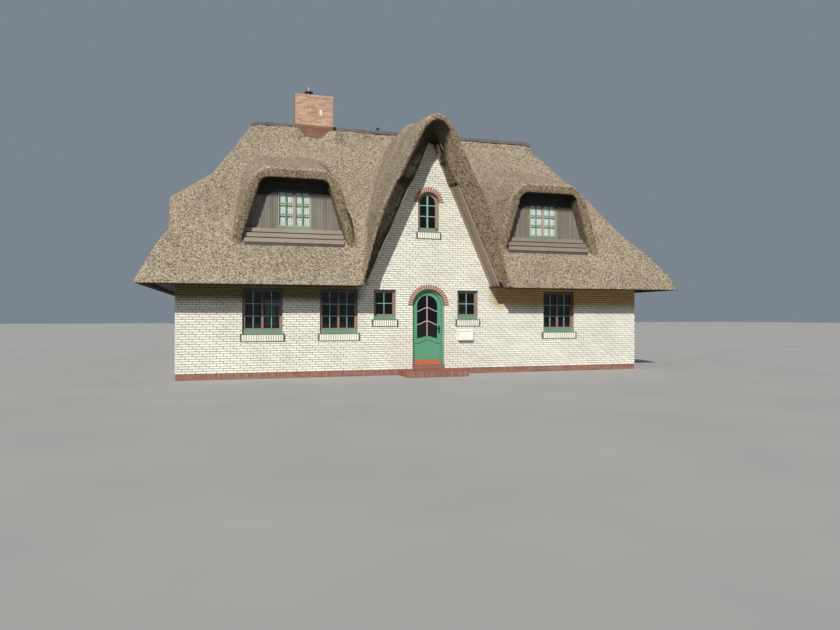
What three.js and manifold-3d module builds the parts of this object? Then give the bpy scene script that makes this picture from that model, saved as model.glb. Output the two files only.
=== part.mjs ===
// Thatched cottage with a steep central gable, hipped ends and six dormers.
// Millimetres, +Z up, the front faces -Y, the origin is on the ground under the middle of the roof.
import * as THREE from "three";
import { ConvexGeometry } from "three/addons/geometries/ConvexGeometry.js";
import { mergeVertices } from "three/addons/utils/BufferGeometryUtils.js";
import Module from "manifold-3d";

const wasm = await Module();
wasm.setup();

// Driving dimensions of the house body.
const HALF_LENGTH = 6625;
const HALF_DEPTH = 4125;
const WALL = 365;
const PLINTH_TOP = 160;
const PLINTH_SETBACK = 8;
const COURSE = 62.5;
const FLOOR_TOP = 250;
const UPPER_BOTTOM = 2500;
const UPPER_TOP = 2720;
const GAP = 0.3;

// Driving dimensions of the thatch.
const EAVE_LOW_Z = 2380;
const EAVE_TOP_Z = 2400;
const EAVE_LOW_Y = 4825;
const EAVE_TOP_Y = 5065;
const EAVE_LOW_X = 7200;
const EAVE_TOP_X = 7495;
const RIDGE_Z = 7750;
const RIDGE_HALF = 4750;
const FRONT_PITCH = 1.0148;
const HIP_PITCH = 1.8725;
const KNEE_Z = 3400;
const KNEE_Y = (RIDGE_Z - KNEE_Z) / FRONT_PITCH;
const KNEE_X = RIDGE_HALF + (RIDGE_Z - KNEE_Z) / HIP_PITCH;
const LIP_FLAT = 8;
const THATCH_DROP = 0.8;

// Driving dimensions of the central gable.
const GABLE_SPLIT = 2150;
const GABLE_WALL_HALF = 1852;
const GABLE_WALL_BOTTOM = 2556;
const GABLE_BACK_Y = -300;
const GABLE_RISE = 400;
const GABLE_VOID_BACK = -500;
const BOARD_THICK = 28;

// Driving dimensions of the doorway.
const DOOR_R = 468.5;
const DOOR_SPRING = courses(28);
const RING = 125;
const REVEAL = 140;
const POCKET_HALF = 505;
const POCKET_TOP = 2430;
const FRAME_FACE = 58.5;
const FRAME_DEPTH = 60;
const DOOR_CLEAR = 5;
const LEAF_R = 450;
const LEAF_THICK = 45;
const LEAF_BOTTOM = 256;
const REBATE_R = 500;
const EDGE_CLEAR = 5.5;

// Driving dimensions of the windows.
const WINDOW_RECESS = 70;
const WINDOW_DEPTH = 70;
const WINDOW_MEMBER = 85;
const MULLION = 75;
const PANE = 6;
const PANE_SETBACK = 5;
const SILL_OUT = 40;
const SILL_HIGH = 3 * COURSE;
const SILL_WIDER = 50;

const FRONT = -HALF_DEPTH;
const WINDOW_HEAD = courses(35);
const WINDOW_FOOT = courses(16);
const SMALL_FOOT = courses(22);

// The height of a brick course above the plinth.
function courses(n) {
  return PLINTH_TOP + n * COURSE;
}

// Builds a solid from a three.js geometry.
function solid(geometry) {
  const bare = geometry.clone();
  bare.deleteAttribute("normal");
  bare.deleteAttribute("uv");
  const merged = mergeVertices(bare, 1e-3);
  return new wasm.Manifold(
    new wasm.Mesh({
      numProp: 3,
      vertProperties: merged.attributes.position.array,
      triVerts: new Uint32Array(merged.index.array),
    }),
  );
}

// A box between two corners.
function block(x0, x1, y0, y1, z0, z1) {
  const box = new THREE.BoxGeometry(x1 - x0, y1 - y0, z1 - z0);
  box.translate((x0 + x1) / 2, (y0 + y1) / 2, (z0 + z1) / 2);
  return solid(box);
}

function extruded(points, depth) {
  const shape = new THREE.Shape(points.map(([a, b]) => new THREE.Vector2(a, b)));
  return new THREE.ExtrudeGeometry(shape, { depth, bevelEnabled: false, steps: 1 });
}

// A plan outline (x, y) raised from z0 to z1.
function planPrism(points, z0, z1) {
  const raised = extruded(points, z1 - z0);
  raised.translate(0, 0, z0);
  return solid(raised);
}

// A front outline (x, z) run from y0 to y1.
function frontPrism(points, y0, y1) {
  const run = extruded(points, y1 - y0);
  run.rotateX(Math.PI / 2);
  run.translate(0, y1, 0);
  return solid(run);
}

// A side outline (y, z) run from x0 to x1.
function sidePrism(points, x0, x1) {
  const run = extruded(points, x1 - x0);
  const turn = new THREE.Matrix4().makeBasis(
    new THREE.Vector3(0, 1, 0),
    new THREE.Vector3(0, 0, 1),
    new THREE.Vector3(1, 0, 0),
  );
  run.applyMatrix4(turn);
  run.translate(x0, 0, 0);
  return solid(run);
}

function hull(points) {
  return solid(new ConvexGeometry(points.map(([x, y, z]) => new THREE.Vector3(x, y, z))));
}

function union(solids) {
  return solids.reduce((sum, next) => sum.add(next));
}

// The half outline of a symmetric front shape, from the right foot to the crown, made whole.
function mirrored(half) {
  const left = half.filter(([x]) => x > 0).map(([x, z]) => [-x, z]);
  return [...half, ...left.reverse()];
}

// A convex counter-clockwise outline with every edge moved inwards by d.
function inset(points, d) {
  return points.map((p, i) => {
    const before = points[(i + points.length - 1) % points.length];
    const after = points[(i + 1) % points.length];
    const a = new THREE.Vector2(p[0] - before[0], p[1] - before[1]).normalize();
    const b = new THREE.Vector2(after[0] - p[0], after[1] - p[1]).normalize();
    const half = new THREE.Vector2(-a.y - b.y, a.x + b.x);
    const scale = d / (1 + a.dot(b));
    return [p[0] + half.x * scale, p[1] + half.y * scale];
  });
}

// A doorway or window outline (x, z): straight sides to the springing, then a half circle.
function archOutline(x, r, bottom, spring, steps = 20) {
  const points = [[x - r, bottom], [x + r, bottom]];
  for (let i = 0; i <= steps; i++) {
    const angle = (Math.PI * i) / steps;
    points.push([x + r * Math.cos(angle), spring + r * Math.sin(angle)]);
  }
  return points;
}

// A half ring of bricks standing on its springing.
function archRing(x, r, spring, y0, y1) {
  const outer = frontPrism(archOutline(x, r + RING, spring, spring + 0.01), y0, y1);
  const inner = frontPrism(archOutline(x, r, spring - 50, spring), y0 - 1, y1 + 1);
  return outer.subtract(inner);
}

// The main roof: sloping front and back, steep hips, and a steeper roll down to the eaves.
function mainOuter() {
  const points = [[-RIDGE_HALF, 0, RIDGE_Z], [RIDGE_HALF, 0, RIDGE_Z]];
  for (const sx of [-1, 1])
    for (const sy of [-1, 1]) {
      points.push([sx * KNEE_X, sy * KNEE_Y, KNEE_Z]);
      points.push([sx * EAVE_TOP_X, sy * EAVE_TOP_Y, EAVE_TOP_Z]);
      points.push([sx * EAVE_LOW_X, sy * EAVE_LOW_Y, EAVE_LOW_Z]);
    }
  return hull(points);
}

const VOID_Y = EAVE_LOW_Y - LIP_FLAT;
const VOID_X = EAVE_LOW_X - LIP_FLAT;
const VOID_APEX = EAVE_LOW_Z + VOID_Y * FRONT_PITCH;
const VOID_RIDGE_HALF = VOID_X - (VOID_APEX - EAVE_LOW_Z) / HIP_PITCH;

// The space under the main roof.
function mainVoid() {
  const below = 400;
  const points = [[-VOID_RIDGE_HALF, 0, VOID_APEX], [VOID_RIDGE_HALF, 0, VOID_APEX]];
  const halfX = VOID_X + below / HIP_PITCH;
  const halfY = VOID_Y + below / FRONT_PITCH;
  for (const sx of [-1, 1])
    for (const sy of [-1, 1]) points.push([sx * halfX, sy * halfY, EAVE_LOW_Z - below]);
  return hull(points);
}

// Half outlines of the gable hood and of the space under it, foot to crown.
const GABLE_OUTER = [
  [2100, 2380],
  [1550, 4400],
  [1090, 5450],
  [600, 6450],
  [440, 6750],
  [220, 6970],
  [0, 7040],
];
const GABLE_INNER = [
  [2010, 2200],
  [330, 5980],
  [210, 6320],
  [100, 6560],
  [0, 6640],
];

function at(points, y, rise) {
  return mirrored(points).map(([x, z]) => [x, y, z + rise]);
}

// The gable hood, its ridge climbing gently to just below the main ridge.
function gableOuter() {
  return hull([
    ...at(GABLE_OUTER, -EAVE_TOP_Y, 0),
    ...at(GABLE_OUTER, GABLE_BACK_Y, GABLE_RISE),
  ]);
}

// The space under the gable hood, flared at the front so that the straw ends slope back.
function gableVoid() {
  const flareBack = FRONT - 600;
  const lip = 55;
  const flared = inset(mirrored(GABLE_OUTER), lip).map(([x, z]) => [x, -EAVE_TOP_Y - 1, z]);
  const straight = frontPrism(mirrored(GABLE_INNER), -EAVE_TOP_Y - 100, GABLE_VOID_BACK);
  const flare = hull([...flared, ...at(GABLE_INNER, flareBack, 0)]);
  const aboveEave = block(-3000, 3000, -6000, 0, EAVE_LOW_Z + 1, 8000);
  return straight.add(flare.intersect(aboveEave));
}

// A dormer is laid out facing -Y about x = 0; outward is the distance from the house centre.
const DORMER_X = 3670;
const DORMER_OUTER = [
  [1530, 3900],
  [1460, 4150],
  [1190, 5060],
  [1050, 5330],
  [800, 5500],
];
const DORMER_INNER = [
  [1420, 3380],
  [1300, 3760],
  [900, 5080],
  [820, 5170],
  [700, 5210],
];
const DORMER_SILL = 3930;
const DORMER_FOOT = 3765;
const DORMER_HALF_WINDOW = 475;
const DORMER_WINDOW_TOP = 5000;
const DORMER_PLATE = 60;
const DORMER_MEMBER = 60;
const APRON_HALF = 1290;

const frontDormer = {
  lip: 4275,
  face: 3845,
  reach: 1900,
  end: 900,
  rise: 0.33,
  high: 1,
  surface: (out) => RIDGE_Z - out * FRONT_PITCH,
};
const sideDormer = {
  lip: 7075,
  face: 6800,
  reach: 5550,
  end: 5400,
  rise: 0.64,
  high: 0.81,
  surface: (out) => RIDGE_Z - (out - RIDGE_HALF) * HIP_PITCH,
};

function flatCrown(half) {
  return [...half, ...half.map(([x, z]) => [-x, z]).reverse()];
}

// A height above the sill of a dormer; those on the hips are lower than the others.
function risen(z, d) {
  return z <= DORMER_SILL ? z : DORMER_SILL + (z - DORMER_SILL) * d.high;
}

function risenOutline(points, d) {
  return flatCrown(points.map(([x, z]) => [x, risen(z, d)]));
}

// The hood of a dormer, running back and up into the slope.
function dormerOuter(d) {
  const foot = d.surface(d.lip) - 80;
  const front = risenOutline([[1600, foot], ...DORMER_OUTER], d);
  const rise = (d.lip - d.end) * d.rise;
  return hull([
    ...front.map(([x, z]) => [x, -d.lip, z]),
    ...front.map(([x, z]) => [x * 1.12, -d.end, z + rise]),
  ]);
}

// The space under a dormer's hood: open above the slope in front, a room behind the face.
function dormerVoid(d) {
  const across = frontPrism(risenOutline(DORMER_INNER, d), -d.lip - 200, -d.reach);
  const far = d.lip + 400;
  const side = sidePrism(
    [
      [-far, d.surface(far)],
      [-d.face, d.surface(d.face)],
      [-d.face, DORMER_FOOT],
      [-d.reach + 10, DORMER_FOOT],
      [-d.reach + 10, 6000],
      [-far, 6000],
    ],
    -3000,
    3000,
  );
  return across.intersect(side);
}

// The boarded face of a dormer with its stepped apron, cut for the window.
function dormerFace(d) {
  const outline = inset(risenOutline(DORMER_INNER, d), GAP);
  const aboveFoot = block(-2000, 2000, -9000, 0, DORMER_FOOT + GAP, 7000);
  const plate = frontPrism(outline, -d.face, -d.face + DORMER_PLATE).intersect(aboveFoot);
  const hole = block(
    -DORMER_HALF_WINDOW,
    DORMER_HALF_WINDOW,
    -9000,
    0,
    DORMER_SILL,
    risen(DORMER_WINDOW_TOP, d),
  );
  return plate.subtract(hole).add(dormerApron(d));
}

// Three overlapping boards that step down the slope under the window.
function dormerApron(d) {
  const steps = 3;
  const reach = d.lip - d.face - 40;
  const board = 34;
  const points = [[-d.face + DORMER_PLATE, DORMER_SILL]];
  const bottomOf = (out) => d.surface(out) + 1;
  const drop = (DORMER_SILL - bottomOf(d.face + reach) - board) / steps;
  for (let i = 0; i < steps; i++) {
    const out = d.face + (reach * (i + 1)) / steps;
    points.push([-out, DORMER_SILL - drop * i]);
    points.push([-out, DORMER_SILL - drop * (i + 1)]);
  }
  points.push([-d.face - reach, bottomOf(d.face + reach)]);
  points.push([-d.face + GAP, bottomOf(d.face)]);
  points.push([-d.face + GAP, DORMER_FOOT + GAP]);
  points.push([-d.face + DORMER_PLATE, DORMER_FOOT + GAP]);
  const cheeks = frontPrism(inset(risenOutline(DORMER_INNER, d), GAP), -9000, 0);
  return sidePrism(points.reverse(), -APRON_HALF, APRON_HALF).intersect(cheeks);
}

// A window frame with a middle stile, set in a dormer face.
function dormerFrame(d) {
  const y = -d.face - 15;
  return casementFrame(
    0,
    DORMER_HALF_WINDOW,
    DORMER_SILL,
    risen(DORMER_WINDOW_TOP, d),
    y,
    y + DORMER_PLATE,
    DORMER_MEMBER,
    true,
  );
}

function dormerGlass(d) {
  const y = -d.face - 15 + DORMER_PLATE;
  return block(
    -DORMER_HALF_WINDOW + PANE_SETBACK,
    DORMER_HALF_WINDOW - PANE_SETBACK,
    y,
    y + PANE,
    DORMER_SILL + PANE_SETBACK,
    risen(DORMER_WINDOW_TOP, d) - PANE_SETBACK,
  );
}

// A rectangular frame ring, with a middle stile where two casements meet.
function casementFrame(x, half, z0, z1, y0, y1, member, stile) {
  const ring = block(x - half, x + half, y0, y1, z0, z1).subtract(
    block(x - half + member, x + half - member, y0 - 1, y1 + 1, z0 + member, z1 - member),
  );
  if (!stile) return ring;
  const middle = block(x - MULLION / 2, x + MULLION / 2, y0, y1, z0 + member / 2, z1 - member / 2);
  return ring.add(middle);
}

// The six dormers: the front pair, the back pair and one on each hip.
const dormers = [
  { name: "front_left", d: frontDormer, place: (s) => s.translate([-DORMER_X, 0, 0]) },
  { name: "front_right", d: frontDormer, place: (s) => s.translate([DORMER_X, 0, 0]) },
  { name: "back_left", d: frontDormer, place: (s) => s.translate([DORMER_X, 0, 0]).rotate([0, 0, 180]) },
  { name: "back_right", d: frontDormer, place: (s) => s.translate([-DORMER_X, 0, 0]).rotate([0, 0, 180]) },
  { name: "left", d: sideDormer, place: (s) => s.rotate([0, 0, -90]) },
  { name: "right", d: sideDormer, place: (s) => s.rotate([0, 0, 90]) },
];

// The chimney stack and the flare of bricks where it leaves the thatch.
const STACK = { x0: -3345, x1: -2135, y0: -400, y1: 200, top: 8720 };
const SKIRT_OUT = 32;
const SKIRT_TOP = 7830;
const SKIRT_BOTTOM = 7300;

function stack(grow) {
  return block(
    STACK.x0 - grow,
    STACK.x1 + grow,
    STACK.y0 - grow,
    STACK.y1 + grow,
    FLOOR_TOP,
    STACK.top,
  );
}

function skirt(grow) {
  const ring = (out, z) => [
    [STACK.x0 - out, STACK.y0 - out, z],
    [STACK.x1 + out, STACK.y0 - out, z],
    [STACK.x1 + out, STACK.y1 + out / 2, z],
    [STACK.x0 - out, STACK.y1 + out / 2, z],
  ];
  return hull([...ring(SKIRT_OUT + grow, SKIRT_BOTTOM), ...ring(1 + grow, SKIRT_TOP + grow)]);
}

const CAP_BAND = [
  [-205, RIDGE_Z - 205 * FRONT_PITCH + 0.5],
  [0, RIDGE_Z + 0.5],
  [290, RIDGE_Z - 290 * FRONT_PITCH + 0.5],
  [315, 7560],
  [160, 7785],
  [55, 7870],
  [-55, 7870],
  [-130, 7815],
  [-225, 7650],
];
const CAP_OVERHANG = 40;

function ridgeCap() {
  const cap = sidePrism(CAP_BAND, -RIDGE_HALF - CAP_OVERHANG, RIDGE_HALF + CAP_OVERHANG);
  return cap.subtract(skirt(GAP)).subtract(stack(GAP));
}

function chimney() {
  const crown = block(STACK.x0 - 8, STACK.x1 + 8, STACK.y0 - 8, STACK.y1 + 8, STACK.top, 8790);
  const outside = mainOuter().translate([0, 0, 0.5]);
  return stack(0).add(crown).add(skirt(0).subtract(outside));
}

// The whole covering; its pieces are split at the hips, at the ridge, beside the gable and mid-back.
const roofOuter = union([
  mainOuter(),
  gableOuter(),
  ...dormers.map(({ d, place }) => place(dormerOuter(d))),
]);
const roofVoid = union([
  mainVoid(),
  gableVoid(),
  ...dormers.map(({ d, place }) => place(dormerVoid(d))),
]);
const thatch = roofOuter.subtract(roofVoid).subtract(stack(GAP));

// Everything the walls may fill: the house body up to the eaves, then the space under the thatch.
const houseBody = block(-HALF_LENGTH, HALF_LENGTH, -HALF_DEPTH, HALF_DEPTH, 0, EAVE_LOW_Z);
const underMain = mainVoid().translate([0, 0, -THATCH_DROP]).add(houseBody);
const underRoof = gableVoid().translate([0, 0, -THATCH_DROP]).add(underMain);

// A plan cell of the roof, drawn back a little from its neighbours.
function roofCell(points) {
  return planPrism(inset(points, GAP / 2), 1000, 9000);
}

const REACH = 1.1;
const CORNER_X = RIDGE_HALF + (EAVE_TOP_X - RIDGE_HALF) * REACH;
const CORNER_Y = EAVE_TOP_Y * REACH;
const roofCells = {
  thatch_front_left: [
    [-CORNER_X, -CORNER_Y],
    [-GABLE_SPLIT, -CORNER_Y],
    [-GABLE_SPLIT, 0],
    [-RIDGE_HALF, 0],
  ],
  thatch_gable: [
    [-GABLE_SPLIT, -CORNER_Y],
    [GABLE_SPLIT, -CORNER_Y],
    [GABLE_SPLIT, 0],
    [-GABLE_SPLIT, 0],
  ],
  thatch_front_right: [
    [GABLE_SPLIT, -CORNER_Y],
    [CORNER_X, -CORNER_Y],
    [RIDGE_HALF, 0],
    [GABLE_SPLIT, 0],
  ],
  thatch_back_left: [
    [-RIDGE_HALF, 0],
    [0, 0],
    [0, CORNER_Y],
    [-CORNER_X, CORNER_Y],
  ],
  thatch_back_right: [
    [0, 0],
    [RIDGE_HALF, 0],
    [CORNER_X, CORNER_Y],
    [0, CORNER_Y],
  ],
  thatch_left_hip: [
    [-RIDGE_HALF, 0],
    [-CORNER_X, CORNER_Y],
    [-CORNER_X, -CORNER_Y],
  ],
  thatch_right_hip: [
    [RIDGE_HALF, 0],
    [CORNER_X, -CORNER_Y],
    [CORNER_X, CORNER_Y],
  ],
};

// The ground-floor windows of the front, left to right, and the pair at the back.
const frontWindows = [
  { name: "window_1", glass: "window_glass_1", x: -4500, half: 515, z0: WINDOW_FOOT, z1: WINDOW_HEAD, stile: true },
  { name: "window_2", glass: "window_glass_2", x: -2510, half: 515, z0: WINDOW_FOOT, z1: WINDOW_HEAD, stile: true },
  { name: "window_3", glass: "window_glass_3", x: -1250, half: 318, z0: SMALL_FOOT, z1: WINDOW_HEAD, stile: false },
  { name: "window_4", glass: "window_glass_4", x: 1160, half: 318, z0: SMALL_FOOT, z1: WINDOW_HEAD, stile: false },
  { name: "window_5", glass: "window_glass_5", x: 4040, half: 515, z0: WINDOW_FOOT, z1: WINDOW_HEAD, stile: true },
];
const backWindows = [
  { name: "back_window_left", glass: "back_glass_left", x: 3670, half: 515, z0: WINDOW_FOOT, z1: WINDOW_HEAD, stile: true },
  { name: "back_window_right", glass: "back_glass_right", x: -3670, half: 515, z0: WINDOW_FOOT, z1: WINDOW_HEAD, stile: true },
];

function windowHole(w) {
  return block(w.x - w.half, w.x + w.half, FRONT - 100, FRONT + WALL + 100, w.z0, w.z1);
}

function windowSill(w) {
  const half = w.half + SILL_WIDER;
  const bottom = w.z0 - SILL_HIGH;
  const outline = [
    [FRONT - SILL_OUT, bottom],
    [FRONT + 50, bottom],
    [FRONT + 50, w.z0],
    [FRONT, w.z0],
    [FRONT - SILL_OUT, w.z0 - 25],
  ];
  return sidePrism(outline, w.x - half, w.x + half);
}

function windowFrame(w) {
  const y = FRONT + WINDOW_RECESS;
  return casementFrame(w.x, w.half, w.z0, w.z1, y, y + WINDOW_DEPTH, WINDOW_MEMBER, w.stile);
}

function windowGlass(w) {
  const y = FRONT + WINDOW_RECESS + WINDOW_DEPTH;
  return block(
    w.x - w.half + PANE_SETBACK,
    w.x + w.half - PANE_SETBACK,
    y,
    y + PANE,
    w.z0 + PANE_SETBACK,
    w.z1 - PANE_SETBACK,
  );
}

// The arched window high in the gable.
const GABLE_WINDOW = { x: 0, r: 311, z0: courses(61), spring: courses(74) };

function gableFrame() {
  const { x, r, z0, spring } = GABLE_WINDOW;
  const y = FRONT + WINDOW_RECESS;
  const outer = archOutline(x, r - GAP, z0, spring);
  const inner = archOutline(x, r - WINDOW_MEMBER, z0 + WINDOW_MEMBER, spring);
  return frontPrism(outer, y, y + WINDOW_DEPTH).subtract(
    frontPrism(inner, y - 1, y + WINDOW_DEPTH + 1),
  );
}

function gableGlass() {
  const { x, r, z0, spring } = GABLE_WINDOW;
  const y = FRONT + WINDOW_RECESS + WINDOW_DEPTH;
  const outline = archOutline(x, r - PANE_SETBACK, z0 + PANE_SETBACK, spring);
  return frontPrism(outline, y, y + PANE);
}

function gableSill() {
  const w = { x: GABLE_WINDOW.x, half: GABLE_WINDOW.r, z0: GABLE_WINDOW.z0 };
  return windowSill(w);
}

// One long wall of the front: openings for windows and door, its top cut to the roof's underside.
function frontWall() {
  const y1 = FRONT + WALL;
  const body = block(-HALF_LENGTH, HALF_LENGTH, FRONT, y1, PLINTH_TOP, 9000).intersect(underRoof);
  const g = GABLE_WINDOW;
  const cuts = union([
    ...frontWindows.map(windowHole),
    frontPrism(archOutline(0, DOOR_R, 0, DOOR_SPRING), FRONT - 100, FRONT + REVEAL),
    archRing(0, DOOR_R, DOOR_SPRING, FRONT - 100, FRONT + 115),
    block(-POCKET_HALF, POCKET_HALF, FRONT + REVEAL, y1 + 100, 0, POCKET_TOP),
    frontPrism(archOutline(g.x, g.r, g.z0, g.spring), FRONT - 100, y1 + 100),
    archRing(g.x, g.r, g.spring, FRONT - 100, FRONT + 115),
  ]);
  const sills = union([...frontWindows.map(windowSill), gableSill()]);
  return body.subtract(cuts).add(sills);
}

const GABLE_WALL_CELL = [
  [-DOOR_R - RING, DOOR_SPRING],
  [DOOR_R + RING, DOOR_SPRING],
  [DOOR_R + RING, GABLE_WALL_BOTTOM],
  [GABLE_WALL_HALF, GABLE_WALL_BOTTOM],
  [GABLE_WALL_HALF, 9000],
  [-GABLE_WALL_HALF, 9000],
  [-GABLE_WALL_HALF, GABLE_WALL_BOTTOM],
  [-DOOR_R - RING, GABLE_WALL_BOTTOM],
];

const wholeFront = frontWall();
const gableCell = frontPrism(GABLE_WALL_CELL, FRONT - 200, FRONT + WALL + 200);

function frontWallSide(side) {
  const x0 = side < 0 ? -HALF_LENGTH - 100 : 0;
  const half = block(x0, x0 + HALF_LENGTH + 100, FRONT - 200, FRONT + WALL + 200, 0, 9000);
  return wholeFront.subtract(gableCell).intersect(half);
}

function backWall() {
  const body = block(-HALF_LENGTH, HALF_LENGTH, FRONT, FRONT + WALL, PLINTH_TOP, 9000);
  const cuts = union(backWindows.map(windowHole));
  const sills = union(backWindows.map(windowSill));
  return body.intersect(underMain).subtract(cuts).add(sills);
}

function sideWall(side) {
  const outer = side * HALF_LENGTH;
  const inner = side * (HALF_LENGTH - WALL);
  const halfY = HALF_DEPTH - WALL;
  const x0 = Math.min(outer, inner);
  return block(x0, x0 + WALL, -halfY, halfY, PLINTH_TOP, 9000).intersect(underMain);
}

function plinth() {
  const x = HALF_LENGTH - PLINTH_SETBACK;
  const y = HALF_DEPTH - PLINTH_SETBACK;
  const innerX = HALF_LENGTH - WALL;
  const innerY = HALF_DEPTH - WALL;
  return block(-x, x, -y, y, 0, PLINTH_TOP).subtract(
    block(-innerX, innerX, -innerY, innerY, -1, PLINTH_TOP + 1),
  );
}

function groundFloor() {
  const x = HALF_LENGTH - WALL;
  const y = HALF_DEPTH - WALL;
  return block(-x, x, -y, y, 0, FLOOR_TOP);
}

// The upper floor, open for the stairs and round the chimney stack.
function upperFloor() {
  const x = HALF_LENGTH - WALL;
  const y = HALF_DEPTH - WALL;
  const stairs = block(-1300, 1300, 1700, 2800, 0, 9000);
  return block(-x, x, -y, y, UPPER_BOTTOM, UPPER_TOP).subtract(stairs).subtract(stack(GAP));
}

// The brick landing with the threshold that runs back through the wall.
function doorStep() {
  const half = 850;
  const out = 900;
  const landing = block(-half, half, FRONT - out, FRONT + PLINTH_SETBACK, 0, PLINTH_TOP);
  const threshold = block(-DOOR_R, DOOR_R, FRONT - 20, FRONT + WALL, PLINTH_TOP, FLOOR_TOP);
  return landing.add(threshold);
}

// An arched ring from the floor up, between two radii.
function archedJamb(outerR, innerR, y0, y1) {
  const outer = archOutline(0, outerR, FLOOR_TOP, DOOR_SPRING);
  const inner = archOutline(0, innerR, FLOOR_TOP - 50, DOOR_SPRING);
  return frontPrism(outer, y0, y1).subtract(frontPrism(inner, y0 - 1, y1 + 1));
}

const LEAF_Y = FRONT + REVEAL + DOOR_CLEAR;
const LEAF_INNER_Y = LEAF_Y + LEAF_THICK;
const HINGE = {
  x: -LEAF_R - EDGE_CLEAR / 2,
  y: LEAF_INNER_Y + 6,
  r: 8,
  pin: 4,
  clear: 13,
  high: 45,
  levels: [450, 1150, 1750],
};

function upright(r, z0, z1) {
  const rod = new THREE.CylinderGeometry(r, r, z1 - z0, 16);
  rod.rotateX(Math.PI / 2);
  rod.translate(HINGE.x, HINGE.y, (z0 + z1) / 2);
  return solid(rod);
}

// The lower knuckles with their pins, fixed to the frame.
function frameKnuckles() {
  const { r, pin, high, levels } = HINGE;
  return levels.flatMap((z) => [upright(r, z - high, z), upright(pin, z - 10, z + high - 5)]);
}

// The upper knuckles, which turn on the pins with the leaf.
function leafKnuckles() {
  const { r, pin, high, levels } = HINGE;
  return levels.map((z) =>
    upright(r, z + GAP, z + high).subtract(upright(pin + GAP, z - 10, z + high - 5 + GAP)),
  );
}

// The door frame: a stop towards the street and a rebate round the leaf behind it.
function doorFrame() {
  const y1 = FRONT + REVEAL;
  const stop = archedJamb(DOOR_R - GAP, DOOR_R - FRAME_FACE, y1 - FRAME_DEPTH, y1);
  const rebate = archedJamb(REBATE_R, LEAF_R + EDGE_CLEAR, y1, LEAF_INNER_Y);
  const { clear, high, levels } = HINGE;
  const notches = levels.map((z) => upright(clear, z, z + high + DOOR_CLEAR));
  return union([stop, rebate]).subtract(union(notches)).add(union(frameKnuckles()));
}

const LIGHT_R = 300;
const LIGHT_BOTTOM = 1000;
const LIGHT_BOW = 62;

// The glazed part of the door: arched above, its lower edge bowed up in the middle.
function lightOutline(shrink) {
  const r = LIGHT_R - shrink;
  const steps = 12;
  const points = [];
  for (let i = 0; i <= steps; i++) {
    const x = -r + (2 * r * i) / steps;
    const bow = (LIGHT_BOW * (1 + Math.cos((Math.PI * x) / r))) / 2;
    points.push([x, LIGHT_BOTTOM + shrink + bow]);
  }
  return [...points, ...archOutline(0, r, 0, DOOR_SPRING).slice(2)];
}

const HANDLE = { x: 352, z: 1290, spindle: 10 };

function doorLeaf() {
  const body = frontPrism(archOutline(0, LEAF_R, LEAF_BOTTOM, DOOR_SPRING), LEAF_Y, LEAF_INNER_Y);
  const light = frontPrism(lightOutline(0), LEAF_Y - 1, LEAF_Y + LEAF_THICK + 1);
  const r = HANDLE.spindle + GAP;
  const bore = new THREE.CylinderGeometry(r, r, LEAF_THICK + 10, 16);
  bore.translate(HANDLE.x, LEAF_Y + LEAF_THICK / 2, HANDLE.z);
  const { clear, high, levels } = HINGE;
  const notches = levels.map((z) => upright(clear, z - high - DOOR_CLEAR, z + GAP));
  return body
    .subtract(light)
    .subtract(solid(bore))
    .subtract(union(notches))
    .add(union(leafKnuckles()));
}

function doorGlass() {
  const y = LEAF_Y + LEAF_THICK / 2;
  return frontPrism(lightOutline(GAP), y - PANE / 2, y + PANE / 2);
}

// Lever handles on both faces, on long plates, joined by the spindle.
function doorHandle() {
  const { x, z, spindle } = HANDLE;
  const rod = new THREE.CylinderGeometry(spindle, spindle, LEAF_THICK + 70, 16);
  rod.translate(x, LEAF_Y + LEAF_THICK / 2, z);
  const lever = (y) => block(x - 105, x + 10, y - 9, y + 9, z - 9, z + 9);
  const plate = (y) => block(x - 20, x + 20, y, y + 6, z - 150, z + 60);
  return union([
    solid(rod),
    plate(LEAF_Y - 6),
    plate(LEAF_Y + LEAF_THICK),
    lever(LEAF_Y - 30),
    lever(LEAF_Y + LEAF_THICK + 30),
  ]);
}

// The boarding under the eaves, a ring that stops at both sides of the gable.
function eavesSoffit() {
  const z0 = 2445;
  const z1 = 2465;
  const x = VOID_X - (z1 - EAVE_LOW_Z) / HIP_PITCH - 3;
  const y = VOID_Y - (z1 - EAVE_LOW_Z) / FRONT_PITCH - 3;
  const stop = 1800;
  return block(-x, x, -y, y, z0, z1)
    .subtract(block(-HALF_LENGTH, HALF_LENGTH, -HALF_DEPTH, HALF_DEPTH, z0 - 1, z1 + 1))
    .subtract(block(-stop, stop, -9000, -HALF_DEPTH + 1, z0 - 1, z1 + 1));
}

// The boards that line the underside of the gable overhang, joined at the top.
function gableBoards() {
  const outer = frontPrism(inset(mirrored(GABLE_INNER), GAP + 0.2), FRONT - 590, FRONT);
  const inner = frontPrism(inset(mirrored(GABLE_INNER), BOARD_THICK), FRONT - 700, FRONT + 100);
  const below = block(-3000, 3000, -9000, 0, 0, 2465);
  return outer.subtract(inner).subtract(below);
}

// A small metal cowl on the chimney: a stub, a collar and a flat hat with a finial.
function chimneyCowl() {
  const profile = [
    [0, 0],
    [95, 0],
    [95, 130],
    [140, 145],
    [140, 165],
    [20, 215],
    [9, 225],
    [9, 330],
    [0, 330],
  ].map(([r, z]) => new THREE.Vector2(r, z));
  const cowl = new THREE.LatheGeometry(profile, 20);
  cowl.rotateX(Math.PI / 2);
  cowl.translate(-2890, -130, 8790);
  return solid(cowl);
}

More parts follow.
